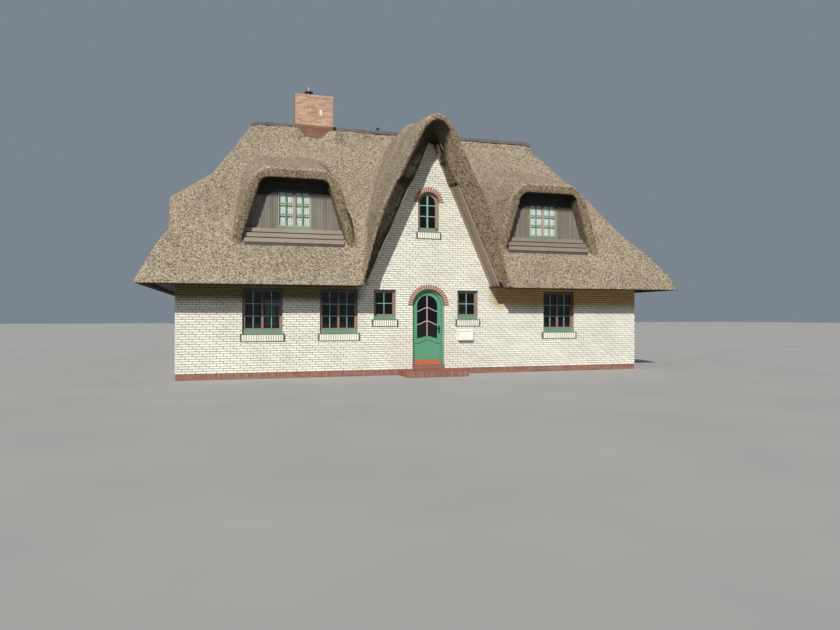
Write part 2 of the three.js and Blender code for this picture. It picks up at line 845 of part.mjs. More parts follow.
// A bent vent pipe with a flange, on the ridge.
function ridgeVent() {
  const profile = [
    [0, 0],
    [58, 0],
    [58, 12],
    [38, 40],
    [38, 135],
    [0, 135],
  ].map(([r, z]) => new THREE.Vector2(r, z));
  const pipe = new THREE.LatheGeometry(profile, 16);
  pipe.rotateX(Math.PI / 2);
  const bend = new THREE.CylinderGeometry(37, 37, 95, 16);
  bend.rotateZ(Math.PI / 2);
  bend.translate(30, 0, 120);
  return solid(pipe).add(solid(bend)).translate([-580, 0, 7870]);
}

// The letter box on the wall beside the door, with a lid that overhangs.
function letterBox() {
  const outline = [
    [FRONT, 950],
    [FRONT, 1255],
    [FRONT - 135, 1215],
    [FRONT - 135, 1197],
    [FRONT - 120, 1197],
    [FRONT - 120, 950],
  ];
  return sidePrism(outline.reverse(), 855, 1285);
}

// Colours, one function a material.
function material(color, roughness, metalness = 0) {
  return new THREE.MeshStandardMaterial({ color, roughness, metalness });
}
const paintedBrick = () => material(0xe6e3d8, 0.85);
const redBrick = () => material(0xa2583f, 0.85);
const reed = () => material(0x9b8a6c, 0.95);
const sod = () => material(0x5e5140, 0.98);
const greenPaint = () => material(0x4f9f7d, 0.45);
const board = () => material(0x7a675b, 0.75);
const clearGlass = () => material(0x223036, 0.05);
const screed = () => material(0xb8b2a6, 0.9);
const timberFloor = () => material(0xa98a63, 0.7);
const darkMetal = () => material(0x26282a, 0.5, 0.6);
const whitePaint = () => material(0xf2f2ef, 0.5);

const house = new THREE.Group();

function put(name, shape, look) {
  const { vertProperties, triVerts } = shape.getMesh();
  const geometry = new THREE.BufferGeometry();
  geometry.setAttribute("position", new THREE.BufferAttribute(vertProperties, 3));
  geometry.setIndex(new THREE.BufferAttribute(triVerts, 1));
  const mesh = new THREE.Mesh(geometry, look);
  mesh.name = name;
  house.add(mesh);
}

put("plinth", plinth(), redBrick());
put("ground_floor", groundFloor(), screed());
put("front_wall_left", frontWallSide(-1), paintedBrick());
put("front_wall_right", frontWallSide(1), paintedBrick());
put("front_gable_wall", wholeFront.intersect(gableCell), paintedBrick());
put("left_wall", sideWall(-1), paintedBrick());
put("right_wall", sideWall(1), paintedBrick());
put("back_wall", backWall().rotate([0, 0, 180]), paintedBrick());
put("upper_floor", upperFloor(), timberFloor());

put("door_step", doorStep(), redBrick());
put("door_arch", archRing(0, DOOR_R, DOOR_SPRING, FRONT - 5, FRONT + 115), redBrick());
put("door_frame", doorFrame(), greenPaint());
put("door_leaf", doorLeaf(), greenPaint());
put("door_glass", doorGlass(), clearGlass());
put("door_handle", doorHandle(), darkMetal());

for (const w of frontWindows) {
  put(w.name, windowFrame(w), greenPaint());
  put(w.glass, windowGlass(w), clearGlass());
}
put("gable_window", gableFrame(), greenPaint());
put("gable_glass", gableGlass(), clearGlass());
put(
  "gable_window_arch",
  archRing(GABLE_WINDOW.x, GABLE_WINDOW.r, GABLE_WINDOW.spring, FRONT - 5, FRONT + 115),
  redBrick(),
);
for (const w of backWindows) {
  put(w.name, windowFrame(w).rotate([0, 0, 180]), greenPaint());
  put(w.glass, windowGlass(w).rotate([0, 0, 180]), clearGlass());
}

for (const { name, d, place } of dormers) {
  const seen = name.startsWith("front");
  const face = seen ? dormerFace(d) : dormerFace(d).add(dormerFrame(d));
  put("dormer_face_" + name, place(face), board());
  if (seen) put("dormer_window_" + name, place(dormerFrame(d)), greenPaint());
  put("dormer_glass_" + name, place(dormerGlass(d)), clearGlass());
}

for (const [name, points] of Object.entries(roofCells))
  put(name, thatch.intersect(roofCell(points)), reed());
put("ridge_cap", ridgeCap(), sod());
put("eaves_soffit", eavesSoffit(), board());
put("gable_boards", gableBoards(), board());

put("chimney", chimney(), redBrick());
put("chimney_cowl", chimneyCowl(), darkMetal());
put("ridge_vent", ridgeVent(), darkMetal());
put("letter_box", letterBox(), whitePaint());

export default house;
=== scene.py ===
import math
import random

import bmesh
import bpy
from mathutils import Matrix, Vector


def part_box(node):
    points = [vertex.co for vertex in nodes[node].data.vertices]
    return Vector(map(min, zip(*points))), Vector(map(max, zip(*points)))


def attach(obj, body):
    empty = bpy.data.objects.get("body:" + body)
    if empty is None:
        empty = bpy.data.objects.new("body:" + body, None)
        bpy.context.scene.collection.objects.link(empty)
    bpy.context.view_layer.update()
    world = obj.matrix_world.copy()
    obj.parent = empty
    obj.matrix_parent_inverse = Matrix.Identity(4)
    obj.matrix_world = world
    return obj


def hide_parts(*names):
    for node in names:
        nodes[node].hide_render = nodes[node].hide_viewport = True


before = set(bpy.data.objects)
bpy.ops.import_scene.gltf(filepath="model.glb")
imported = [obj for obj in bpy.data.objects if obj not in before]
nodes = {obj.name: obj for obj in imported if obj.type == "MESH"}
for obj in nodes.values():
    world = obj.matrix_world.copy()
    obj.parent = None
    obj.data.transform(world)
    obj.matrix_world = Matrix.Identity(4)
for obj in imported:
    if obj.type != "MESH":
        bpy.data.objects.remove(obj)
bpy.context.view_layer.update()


# Plinth: a rowlock course of hard red bricks over one flat course, bedded in grey mortar.
# The bricks stand a few millimetres proud of the joints all round the house.
BRICK_LONG = 0.240
BRICK_HIGH = 0.0525
COURSE = 0.0625
PITCH = 0.250
JOINT = PITCH - BRICK_LONG
PROUD = 0.0045
BED = 0.002
WORN = 0.002
SHORTEST = 0.02
SLIVER = 0.004
SEED = 12
tones = random.Random(SEED)


def add(tree, kind, settings=None, **sockets):
    """A shader node; a socket takes a value or another node's output, i0 is the first socket."""
    made = tree.nodes.new("ShaderNode" + kind)
    for name, value in (settings or {}).items():
        setattr(made, name, value)
    for name, value in sockets.items():
        numbered = name[0] == "i" and name[1:].isdigit()
        socket = made.inputs[int(name[1:]) if numbered else name.replace("_", " ")]
        if isinstance(value, bpy.types.NodeSocket):
            tree.links.new(value, socket)
        else:
            socket.default_value = opaque(value) if socket.type == "RGBA" else value
    return made


def opaque(colour):
    """A colour with its alpha."""
    return (*colour, 1) if len(colour) == 3 else colour


def blend(tree, factor, first, second, how="MIX"):
    """Two colours mixed by a factor."""
    settings = {"data_type": "RGBA", "blend_type": how}
    return add(tree, "Mix", settings, i0=factor, i6=first, i7=second).outputs[2]


def maths(tree, what, first, second=0.0, clamp=False):
    settings = {"operation": what, "use_clamp": clamp}
    return add(tree, "Math", settings, i0=first, i1=second).outputs[0]


def summed(tree, *parts):
    """Values added up, each times its weight."""
    total = None
    for value, weight in parts:
        part = maths(tree, "MULTIPLY", value, weight)
        total = part if total is None else maths(tree, "ADD", total, part)
    return total


def rising(tree, value, start, full):
    """From 0 where the value is at start to 1 where it is full."""
    over = maths(tree, "SUBTRACT", value, start)
    return maths(tree, "MULTIPLY", over, 1 / (full - start), clamp=True)


def both(tree, *masks):
    """Masks multiplied together."""
    result = masks[0]
    for mask in masks[1:]:
        result = maths(tree, "MULTIPLY", result, mask)
    return result


def ramp(tree, factor, *stops):
    """Colours set out along a factor, each stop a place and a colour."""
    made = add(tree, "ValToRGB", Fac=factor)
    elements = made.color_ramp.elements
    while len(elements) < len(stops):
        elements.new(0.5)
    for element, (place, colour) in zip(elements, stops):
        element.position = place
        element.color = opaque(colour)
    return made.outputs["Color"]


def grey(value):
    return (value, value, value)


def noise(tree, coords, scale, detail=3.0, rough=0.55):
    made = add(tree, "TexNoise", Vector=coords, Scale=scale, Detail=detail, Roughness=rough)
    return made.outputs["Fac"]


def new_group(name, takes, gives):
    """An empty shader group with named sockets; returns its tree and the two end nodes."""
    tree = bpy.data.node_groups.new(name, "ShaderNodeTree")
    for label, kind, value in takes:
        socket = tree.interface.new_socket(label, in_out="INPUT", socket_type="NodeSocket" + kind)
        socket.default_value = opaque(value) if kind == "Color" else value
    for label, kind in gives:
        tree.interface.new_socket(label, in_out="OUTPUT", socket_type="NodeSocket" + kind)
    return tree, tree.nodes.new("NodeGroupInput"), tree.nodes.new("NodeGroupOutput")


def placed(tree, group, **sockets):
    return add(tree, "Group", {"node_tree": group}, **sockets)


def new_material(name, **constants):
    """A material with its tree and its shader, constants set on the shader's own sockets."""
    material = bpy.data.materials.new(name)
    material.use_nodes = True
    tree = material.node_tree
    shader = tree.nodes["Principled BSDF"]
    for label, value in constants.items():
        shader.inputs[label.replace("_", " ")].default_value = value
    coords = add(tree, "TexCoord").outputs["Object"]
    return material, tree, shader, coords


def bumped(tree, shader, height, strength, distance):
    bump = add(tree, "Bump", Height=height, Strength=strength, Distance=distance)
    tree.links.new(bump.outputs["Normal"], shader.inputs["Normal"])


def piece(name, mesh, material, body="house", stands_for=(), smooth=False):
    """A finished piece: its mesh, its material, and the body that it rides on."""
    data = bpy.data.meshes.new(name)
    if smooth:
        for face in mesh.faces:
            face.smooth = True
    mesh.to_mesh(data)
    mesh.free()
    data.materials.append(material)
    made = bpy.data.objects.new(name, data)
    bpy.context.scene.collection.objects.link(made)
    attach(made, body)
    if stands_for:
        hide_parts(*stands_for)
    return made


def dress(material, *names):
    """CAD nodes that keep their own shape and take a finish."""
    for name in names:
        slots = nodes[name].data.materials
        slots.clear()
        slots.append(material)


def tinted_dirt_and_shade(material, mask, tint):
    """A finish multiplied by a tint where the mask, made from the place, comes to 1: real marks and
    painted shade alike.
    """
    tree = material.node_tree
    shader = tree.nodes["Principled BSDF"]
    clean = shader.inputs["Base Color"].links[0].from_socket
    coords = add(tree, "TexCoord").outputs["Object"]
    place = add(tree, "SeparateXYZ", Vector=coords).outputs
    tinted = blend(tree, 1.0, clean, tint, "MULTIPLY")
    colour = blend(tree, mask(tree, coords, place), clean, tinted)
    tree.links.new(colour, shader.inputs["Base Color"])
    return material


def new_bricks():
    """An empty mesh for bricks, with a tone for each brick."""
    mesh = bmesh.new()
    mesh.verts.layers.float.new("tone")
    return mesh


def box(mesh, left, right, near, far, low, high, worn=0.0, tone=None):
    """A block whose near face is drawn in a little at its edges; returns its corners."""
    made = bmesh.ops.create_cube(mesh, size=1.0)["verts"]
    centre = Vector((left + right, near + far, low + high)) / 2
    size = Vector((right - left, far - near, high - low))
    for vert in made:
        drawn = 2 * worn if vert.co.y < 0 else 0.0
        scale = Vector((size.x - drawn, size.y, size.z - drawn))
        vert.co = centre + vert.co * scale
    layer = mesh.verts.layers.float.get("tone")
    if layer:
        value = tones.random() if tone is None else tone
        for vert in made:
            vert[layer] = value
    return made


def gaps_taken(left, right, gaps):
    """The stretches of a course that are left between its openings."""
    spans = [(left, right)]
    for low, high in gaps:
        spans = [
            part
            for a, b in spans
            for part in ((a, min(b, low)), (max(a, high), b))
            if part[1] - part[0] > SLIVER
        ]
    return spans


def course(mesh, left, right, low, high, face, shift=0.0, gaps=(), proud=PROUD, pitch=PITCH):
    """A course of stretchers from left to right, its bond moved on by shift."""
    count = int((right - left) / pitch) + 3
    for a, b in gaps_taken(left, right, gaps):
        for i in range(-1, count):
            start = max(a, left + shift + i * pitch)
            end = min(b, left + shift + i * pitch + pitch - JOINT)
            if right - end < 1.2 * JOINT:
                end = min(b, right)
            if end - start > SHORTEST:
                box(mesh, start, end, face - proud, face + BED, low, high, WORN)


def uprights(mesh, left, right, low, high, face, proud=PROUD, depth=BED):
    """A row of bricks on end or on edge, side by side."""
    count = max(1, round((right - left) / COURSE))
    step = (right - left) / count
    made = []
    for i in range(count):
        start = left + i * step + JOINT / 2
        end = start + step - JOINT
        made += box(mesh, start, end, face - proud, face + depth, low, high, WORN)
    return made


def turned(mesh, quarter):
    """The whole mesh turned about the house's upright middle by quarter turns."""
    turn = Matrix.Rotation(math.radians(90) * quarter, 4, "Z")
    bmesh.ops.transform(mesh, matrix=turn, verts=mesh.verts[:])
    return mesh


def joined(target, part):
    """One mesh added to another, with its tones."""
    data = bpy.data.meshes.new("part")
    part.to_mesh(data)
    part.free()
    target.from_mesh(data)
    bpy.data.meshes.remove(data)


def brick_group():
    """Fired clay or painted brick: each brick has its tone, with soot, pits and rain marks."""
    takes = [
        ("Light", "Color", (1, 1, 1)),
        ("Dark", "Color", (0.5, 0.5, 0.5)),
        ("Stain", "Color", (0.2, 0.2, 0.2)),
        ("Stained", "Float", 0.3),
    ]
    gives = [("Color", "Color"), ("Roughness", "Float"), ("Height", "Float")]
    tree, start, end = new_group("brick_face", takes, gives)
    coords = add(tree, "TexCoord").outputs["Object"]
    tone = add(tree, "Attribute", {"attribute_name": "tone"}).outputs["Fac"]
    fine = noise(tree, coords, 90.0, 4.0, 0.6)
    patch = noise(tree, coords, 1.3, 5.0, 0.62)
    mottle = noise(tree, coords, 14.0, 3.0)
    shade = summed(tree, (tone, 0.7), (mottle, 0.3))
    body = blend(tree, shade, start.outputs["Light"], start.outputs["Dark"])
    marks = maths(tree, "MULTIPLY", ramp(tree, patch, (0.42, grey(0)), (0.72, grey(1))), mottle)
    marks = maths(tree, "MULTIPLY", marks, start.outputs["Stained"], clamp=True)
    colour = blend(tree, marks, body, start.outputs["Stain"])
    tree.links.new(colour, end.inputs["Color"])
    rough = maths(tree, "ADD", maths(tree, "MULTIPLY", fine, 0.25), 0.62)
    tree.links.new(rough, end.inputs["Roughness"])
    tree.links.new(summed(tree, (fine, 1.0), (mottle, 1.5)), end.inputs["Height"])
    return tree


BRICK_FACE = brick_group()


def brick_material(name, light, dark, stain, stained, strength=0.35):
    material, tree, shader, _ = new_material(name, Specular_IOR_Level=0.3)
    face = placed(tree, BRICK_FACE, Light=light, Dark=dark, Stain=stain, Stained=stained)
    tree.links.new(face.outputs["Color"], shader.inputs["Base Color"])
    tree.links.new(face.outputs["Roughness"], shader.inputs["Roughness"])
    bumped(tree, shader, face.outputs["Height"], strength, 0.003)
    return material


def mortar_material(name, light, dark):
    """Struck joints: a sandy grain with darker damp patches."""
    material, tree, shader, coords = new_material(name, Roughness=0.95, Specular_IOR_Level=0.2)
    patch = noise(tree, coords, 2.2, 4.0)
    sand = noise(tree, coords, 160.0, 3.0, 0.7)
    mixed = summed(tree, (patch, 0.6), (sand, 0.4))
    colour = ramp(tree, mixed, (0.35, dark), (0.65, light))
    tree.links.new(colour, shader.inputs["Base Color"])
    bumped(tree, shader, sand, 0.5, 0.002)
    return material


red_brick = brick_material(
    "red_brick", (0.38, 0.15, 0.10), (0.19, 0.075, 0.055), (0.12, 0.09, 0.07), 0.5
)
grey_mortar = mortar_material("grey_mortar", (0.36, 0.33, 0.29), (0.17, 0.155, 0.14))
dress(grey_mortar, "plinth")

low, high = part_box("plinth")
PLINTH_TOP = high.z
FLAT_COURSE = (0.002, 0.038)
ROWLOCK = (0.046, PLINTH_TOP - 0.004)
plinth = new_bricks()
for quarter in range(4):
    reach, face = (high.y, low.x) if quarter % 2 else (high.x, low.y)
    side = new_bricks()
    uprights(side, -reach, reach, *ROWLOCK, face)
    course(side, -reach, reach, *FLAT_COURSE, face)
    joined(plinth, turned(side, quarter))
piece("plinth_bricks", plinth, red_brick)


# Floors: a smooth screed on the ground and sanded deal boards upstairs.
# They show only through the doorway and the windows.
def grain_group():
    """Long grain of sawn or planed wood, along the direction that Coords is stretched in."""
    takes = [
        ("Coords", "Vector", (0, 0, 0)),
        ("Light", "Color", (1, 1, 1)),
        ("Dark", "Color", (0.5, 0.5, 0.5)),
        ("Grain", "Float", 1.0),
    ]
    gives = [("Color", "Color"), ("Height", "Float")]
    tree, start, end = new_group("wood_grain", takes, gives)
    coords = start.outputs["Coords"]
    wave = noise(tree, coords, 7.0, 5.0, 0.6)
    fibre = noise(tree, coords, 38.0, 3.0, 0.7)
    plank = add(tree, "TexCoord").outputs["Object"]
    weather = noise(tree, plank, 1.7, 4.0)
    mixed = maths(tree, "SUBTRACT", summed(tree, (wave, 0.55), (fibre, 0.45)), 0.5)
    mixed = maths(tree, "MULTIPLY", mixed, start.outputs["Grain"])
    mixed = maths(tree, "ADD", mixed, weather, clamp=True)
    colour = blend(tree, mixed, start.outputs["Light"], start.outputs["Dark"])
    tree.links.new(colour, end.inputs["Color"])
    tree.links.new(maths(tree, "ADD", wave, fibre), end.inputs["Height"])
    return tree


WOOD_GRAIN = grain_group()
ALONG_X = (1.5, 16.0, 16.0)
ALONG_Z = (16.0, 16.0, 1.5)


def wood_material(name, light, dark, along, grain=1.0, rough=0.75, bump=0.4, **constants):
    material, tree, shader, coords = new_material(name, Roughness=rough, **constants)
    stretched = add(tree, "Mapping", Vector=coords, Scale=along).outputs["Vector"]
    wood = placed(tree, WOOD_GRAIN, Coords=stretched, Light=light, Dark=dark, Grain=grain)
    tree.links.new(wood.outputs["Color"], shader.inputs["Base Color"])
    bumped(tree, shader, wood.outputs["Height"], bump, 0.002)
    return material


screed = mortar_material("screed", (0.46, 0.43, 0.39), (0.38, 0.36, 0.33))
dress(screed, "ground_floor")
deal_boards = wood_material("deal_boards", (0.42, 0.28, 0.15), (0.28, 0.18, 0.09), ALONG_X)
dress(deal_boards, "upper_floor")


# Walls: raking bond of small-format bricks painted white, the dark joints raked back.
# The masonry behind is the mortar bed; each brick is laid on it, cut at windows and at the arches.
HALF_LONG = 6.625
HALF_DEEP = 4.125
FRONT = -HALF_DEEP
WALL_ENDS = (-HALF_LONG - PROUD, HALF_LONG + PROUD)
EAVES_UNDER = 2.444
COURSES = 37
STEP_COURSE, SPRING_COURSE = 2, 28
BIG_FOOT, SMALL_FOOT, HEAD_COURSE = 16, 22, 35
GABLE_FOOT_COURSE, GABLE_SPRING_COURSE = 61, 74
GABLE_FOOT_HALF = 1.80
DOOR_R = 0.4685
RING = 0.125
REVEAL = 0.069

white_paint = brick_material(
    "white_painted_brick", (0.86, 0.85, 0.765), (0.73, 0.715, 0.62), (0.36, 0.34, 0.26), 0.5, 0.25
)
# Painted shade under the eaves, partly real grime: the heights between which it sets in, on the
# left and on the right.
SHADE_AND_GRIME_HEIGHTS = {-1: (1.98, 2.20), 1: (1.86, 2.08)}
EAVES_OVER = 2.6


def eaves_shade_and_grime(sideways):
    """Painted shade with some grime, darker towards the eaves, on the left half (-1) or the right
    one (1), but not on the gable.
    """

    def mask(tree, coords, place):
        height = summed(tree, (place["Z"], 1.0), (noise(tree, coords, 1.3, 4.0), 0.14))
        shade_and_grime = rising(tree, height, *SHADE_AND_GRIME_HEIGHTS[sideways])
        half = rising(tree, maths(tree, "MULTIPLY", place["X"], sideways), -0.3, 0.3)
        aside = rising(tree, maths(tree, "ABSOLUTE", place["X"]), 1.75, 2.10)
        aside = maths(tree, "MAXIMUM", aside, place["Y"], clamp=True)
        return both(tree, shade_and_grime, half, aside, maths(tree, "LESS_THAN", place["Z"], EAVES_OVER))

    return mask


# Its tints: painted shade with olive algae on the left, and painted shade with brown tannin stain
# on the right.
ALGAE_AND_SHADE = (0.22, 0.18, 0.085)
TANNIN_AND_SHADE = (0.64, 0.41, 0.20)
dark_joint = mortar_material("dark_joint", (0.20, 0.185, 0.14), (0.08, 0.072, 0.052))
for wall_finish in (white_paint, dark_joint):
    tinted_dirt_and_shade(wall_finish, eaves_shade_and_grime(-1), ALGAE_AND_SHADE)
    tinted_dirt_and_shade(wall_finish, eaves_shade_and_grime(1), TANNIN_AND_SHADE)
dress(dark_joint, "front_wall_left", "front_wall_right", "front_gable_wall")
dress(dark_joint, "left_wall", "right_wall", "back_wall")

big = {"half": 0.515, "foot": BIG_FOOT}
small = {"half": 0.318, "foot": SMALL_FOOT}
# the middle of each window along the wall, and its kind
front_windows = {
    "1": (-4.500, big),
    "2": (-2.510, big),
    "3": (-1.250, small),
    "4": (1.160, small),
    "5": (4.040, big),
}
back_windows = {"left": (3.670, big), "right": (-3.670, big)}
GABLE_R = 0.311
SILL_COURSES = 3
SILL_WIDER = 0.0125


def level(n):
    """The height of the joint under course n."""
    return PLINTH_TOP + n * COURSE


DOOR_SPRING = level(SPRING_COURSE)
WINDOW_HEAD = level(HEAD_COURSE)
GABLE_FOOT = level(GABLE_FOOT_COURSE)
GABLE_SPRING = level(GABLE_SPRING_COURSE)


def window_gap(x, kind, n):
    """The stretch that a window, or its sill below, takes out of course n."""
    if kind["foot"] <= n < HEAD_COURSE:
        return (x - kind["half"], x + kind["half"])
    if kind["foot"] - SILL_COURSES <= n < kind["foot"]:
        reach = kind["half"] + SILL_WIDER
        return (x - reach, x + reach)
    return None


def arch_gap(r, foot, spring, low, high):
    """The stretch that an arched opening takes, up to the middle of its brick ring."""
    middle = (low + high) / 2
    if middle < foot:
        return None
    if middle < spring:
        return (-r, r)
    reach = (r + RING / 2) ** 2 - (middle - spring) ** 2
    return (-math.sqrt(reach), math.sqrt(reach)) if reach > 0 else None


def wall_course(mesh, n, left, right, gaps, swap=0):
    """Course n of a wall in raking bond: each course is moved on by a third of a brick."""
    low = level(n) + JOINT / 2
    high = min(low + BRICK_HIGH, EAVES_UNDER)
    shift = -(PITCH / 3) * ((n + swap) % 3)
    course(mesh, left, right, low, high, FRONT, shift, [gap for gap in gaps if gap])


def reveal_bricks(mesh, x, half, first, last):
    """The brick returns at both sides of an opening."""
    for n in range(first, last):
        low = level(n) + JOINT / 2
        for edge in (x - half, x + half):
            inward = 1 if edge < x else -1
            near, deep = sorted((edge + inward * PROUD, edge - inward * BED))
            box(mesh, near, deep, FRONT - PROUD, FRONT + REVEAL, low, low + BRICK_HIGH)


def long_wall(windows, more_gaps):
    """The bricks of a long wall with its windows; more_gaps gives a course's other openings."""
    mesh = new_bricks()
    for n in range(COURSES):
        gaps = [window_gap(x, kind, n) for x, kind in windows.values()] + more_gaps(n)
        wall_course(mesh, n, *WALL_ENDS, gaps)
    for x, kind in windows.values():
        reveal_bricks(mesh, x, kind["half"], kind["foot"], HEAD_COURSE)
    return mesh


def front_gaps(n):
    """The doorway and, in the top course, the foot of the gable wall."""
    gable = (-GABLE_FOOT_HALF, GABLE_FOOT_HALF) if n == COURSES - 1 else None
    return [arch_gap(DOOR_R, 0.0, DOOR_SPRING, level(n), level(n) + COURSE), gable]


front_bricks = long_wall(front_windows, front_gaps)
reveal_bricks(front_bricks, 0.0, DOOR_R, STEP_COURSE, SPRING_COURSE)
piece("front_bricks", front_bricks, white_paint)
back_bricks = long_wall(back_windows, lambda n: [])
piece("back_bricks", turned(back_bricks, 2), white_paint)

for name, quarter in (("left_bricks", -1), ("right_bricks", 1)):
    side = new_bricks()
    for n in range(COURSES):
        wall_course(side, n, -HALF_DEEP, HALF_DEEP, [], swap=1)
    for vert in side.verts:
        vert.co.y -= HALF_LONG - HALF_DEEP
    piece(name, turned(side, quarter), white_paint)


# Gable wall: the same bond runs on up to the crown, its ends hidden by the boards of the overhang.
# The outline is that of the underside of the hood, given by heights and half widths.
HOOD_UNDER = ((2.200, 2.010), (5.980, 0.330), (6.320, 0.210), (6.560, 0.100), (6.640, 0.0))
CROWN_UNDER = HOOD_UNDER[-1][0]
BOARD_BEHIND = 0.028
PAST_WALL = HALF_LONG + 1


def between(value, table):
    """A size read off a table of places and sizes, 0 outside it."""
    for (a, first), (b, second) in zip(table, table[1:]):
        if a <= value <= b:
            return first + (second - first) * (value - a) / (b - a)
    return 0.0


gable_bricks = new_bricks()
n = COURSES - 1
while level(n + 1) < CROWN_UNDER:
    low = level(n) + JOINT / 2
    edge = GABLE_FOOT_HALF if n == COURSES - 1 else between(low, HOOD_UNDER) - BOARD_BEHIND
    gaps = [arch_gap(GABLE_R, GABLE_FOOT, GABLE_SPRING, low, low + COURSE)]
    if GABLE_FOOT_COURSE - SILL_COURSES <= n < GABLE_FOOT_COURSE:
        gaps.append((-GABLE_R - SILL_WIDER, GABLE_R + SILL_WIDER))
    gaps = [gap for gap in gaps if gap] + [(-PAST_WALL, -edge), (edge, PAST_WALL)]
    shift = -(PITCH / 3) * (n % 3)
    course(gable_bricks, *WALL_ENDS, low, low + BRICK_HIGH, FRONT, shift, gaps)
    n += 1
reveal_bricks(gable_bricks, 0.0, GABLE_R, GABLE_FOOT_COURSE, GABLE_SPRING_COURSE)
piece("gable_bricks", gable_bricks, white_paint)


# Sills: painted bricks on edge under each window, bedded in mortar on the wall below.
# They stand 40 mm out of the wall and slope to shed the rain.
SILL_OUT = 0.040
SILL_PROUD = 0.0035
SILL_SLOPE = 0.025
SILL_HIGH = SILL_COURSES * COURSE


def sill_bricks(mesh, joints, x, half, top):
    """The bricks on edge of one sill, and the mortar between them."""
    reach = half + SILL_WIDER
    foot = top - SILL_HIGH
    face, far = FRONT - SILL_OUT, FRONT + 0.04
    ends = (x - reach, x + reach)
    made = uprights(mesh, *ends, foot + 0.002, top + 0.002, face, SILL_PROUD, SILL_OUT + 0.045)
    inner, outer = reach - 0.004, reach + 0.006
    made += box(joints, x - inner, x + inner, face + 0.002, far, foot + 0.006, top - 0.002)
    box(joints, x - outer, x + outer, FRONT - 0.002, far, foot - 0.006, top - 0.004)
    for vert in made:
        if vert.co.z > top - 0.01 and vert.co.y < FRONT - 0.02:
            vert.co.z -= SILL_SLOPE


sills, sill_joints = new_bricks(), new_bricks()
for x, kind in front_windows.values():
    sill_bricks(sills, sill_joints, x, kind["half"], level(kind["foot"]))
sill_bricks(sills, sill_joints, 0.0, GABLE_R, GABLE_FOOT)
back_sills, back_joints = new_bricks(), new_bricks()
for x, kind in back_windows.values():
    sill_bricks(back_sills, back_joints, x, kind["half"], level(kind["foot"]))
joined(sills, turned(back_sills, 2))
joined(sill_joints, turned(back_joints, 2))
piece("sill_bricks", sills, white_paint)
sill_mortar = mortar_material("sill_mortar", (0.50, 0.48, 0.41), (0.36, 0.34, 0.28))
piece("sill_joints", sill_joints, sill_mortar)


# Door step: a low landing of red bricks, on edge round its sides and laid flat on top.
# A threshold of bricks on edge stands on it in the doorway, between the reveals.
low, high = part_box("door_step")
LANDING_TOP = PLINTH_TOP
RISER = (0.004, LANDING_TOP - 0.002)
THRESHOLD = (LANDING_TOP + PROUD, 0.2535)
landing_face = low.y
dress(grey_mortar, "door_step")
step = new_bricks()
uprights(step, low.x, high.x, *RISER, landing_face)
for quarter, near, far in ((-1, -FRONT + 0.006, -landing_face), (1, landing_face, FRONT - 0.006)):
    cheek = new_bricks()
    uprights(cheek, near, far, *RISER, low.x)
    joined(step, turned(cheek, quarter))
for row in range(int((FRONT - landing_face) / COURSE)):
    near = landing_face - PROUD + row * COURSE
    for i in range(-1, int((high.x - low.x) / PITCH) + 2):
        start = low.x + i * PITCH + (row % 2) * PITCH / 2
        left, right = max(low.x, start), min(high.x, start + BRICK_LONG)
        if right - left > SHORTEST:
            box(step, left, right, near, near + BRICK_HIGH, LANDING_TOP - BED, LANDING_TOP + PROUD)
reach = DOOR_R - 0.002
uprights(step, -reach, reach, *THRESHOLD, FRONT - 0.02, depth=0.094)
piece("step_bricks", step, red_brick)


# Arches: red bricks on end, turned in half a ring over the door and over the gable window.
# Pale mortar fills the wedge joints between them.
arch_brick = brick_material(
    "arch_brick", (0.42, 0.165, 0.12), (0.23, 0.085, 0.06), (0.13, 0.09, 0.075), 0.5
)
pale_joint = mortar_material("pale_joint", (0.62, 0.55, 0.45), (0.42, 0.36, 0.29))
dress(pale_joint, "door_arch", "gable_window_arch")
VOUSSOIR_WIDE = 0.044
VOUSSOIR_PROUD = 0.012
VOUSSOIR_DEEP = 0.078


def brick_ring(mesh, r, spring, count):
    """Bricks on end set round a half circle."""
    half = VOUSSOIR_WIDE / 2
    near, far = FRONT - VOUSSOIR_PROUD, FRONT + VOUSSOIR_DEEP
    for i in range(count):
        angle = math.pi * (i + 0.5) / count
        made = box(mesh, -half, half, near, far, r - 0.003, r + RING, WORN)
        turn = Matrix.Translation((0, 0, spring)) @ Matrix.Rotation(math.pi / 2 - angle, 4, "Y")
        bmesh.ops.transform(mesh, matrix=turn, verts=made)


arches = new_bricks()
brick_ring(arches, DOOR_R, DOOR_SPRING, 25)
brick_ring(arches, GABLE_R, GABLE_SPRING, 17)
piece("arch_bricks", arches, arch_brick)


# Windows: painted pine casements in box frames, glazing bars puttied over a single pane.
# The frame stands in the brick reveal on a deep green sill board; the leaves close further back.
FRAME_BACK = 0.070
FRAME_DEEP = 0.0695
FRAME_WIDE = 0.032
GREEN_EDGE = 0.018
SILL_BOARD = 0.110
LEAF_BACK = 0.034
STILE = 0.046
MEETING = 0.026
RAIL = 0.034
BAR_WIDE = 0.022
BAR_BACK = 0.008
LEAF_GAP = 0.0015
EASED = 0.002
BAR_EASED = 0.003
# sill board, green edge of the frame, its depth, meeting stile and glazing bar
WINDOW_SIZES = (SILL_BOARD, GREEN_EDGE, FRAME_DEEP, MEETING, BAR_WIDE)

green_joinery = wood_material(
    "green_joinery", (0.16, 0.32, 0.23), (0.10, 0.225, 0.155), ALONG_X, 0.5, 0.45, 0.15
)
brown_joinery = wood_material(
    "brown_joinery", (0.37, 0.235, 0.175), (0.24, 0.145, 0.11), ALONG_Z, 0.6, 0.5, 0.2
)
pale_bars = wood_material(
    "pale_bars", (0.29, 0.46, 0.37), (0.20, 0.36, 0.27), ALONG_Z, 0.5, 0.45, 0.15
)
# The same painted shade under the eaves, with some grime, darkens the window frames and leaves.
for paint in (green_joinery, brown_joinery):
    tinted_dirt_and_shade(paint, eaves_shade_and_grime(-1), (0.30, 0.28, 0.22))
    tinted_dirt_and_shade(paint, eaves_shade_and_grime(1), (0.45, 0.38, 0.28))


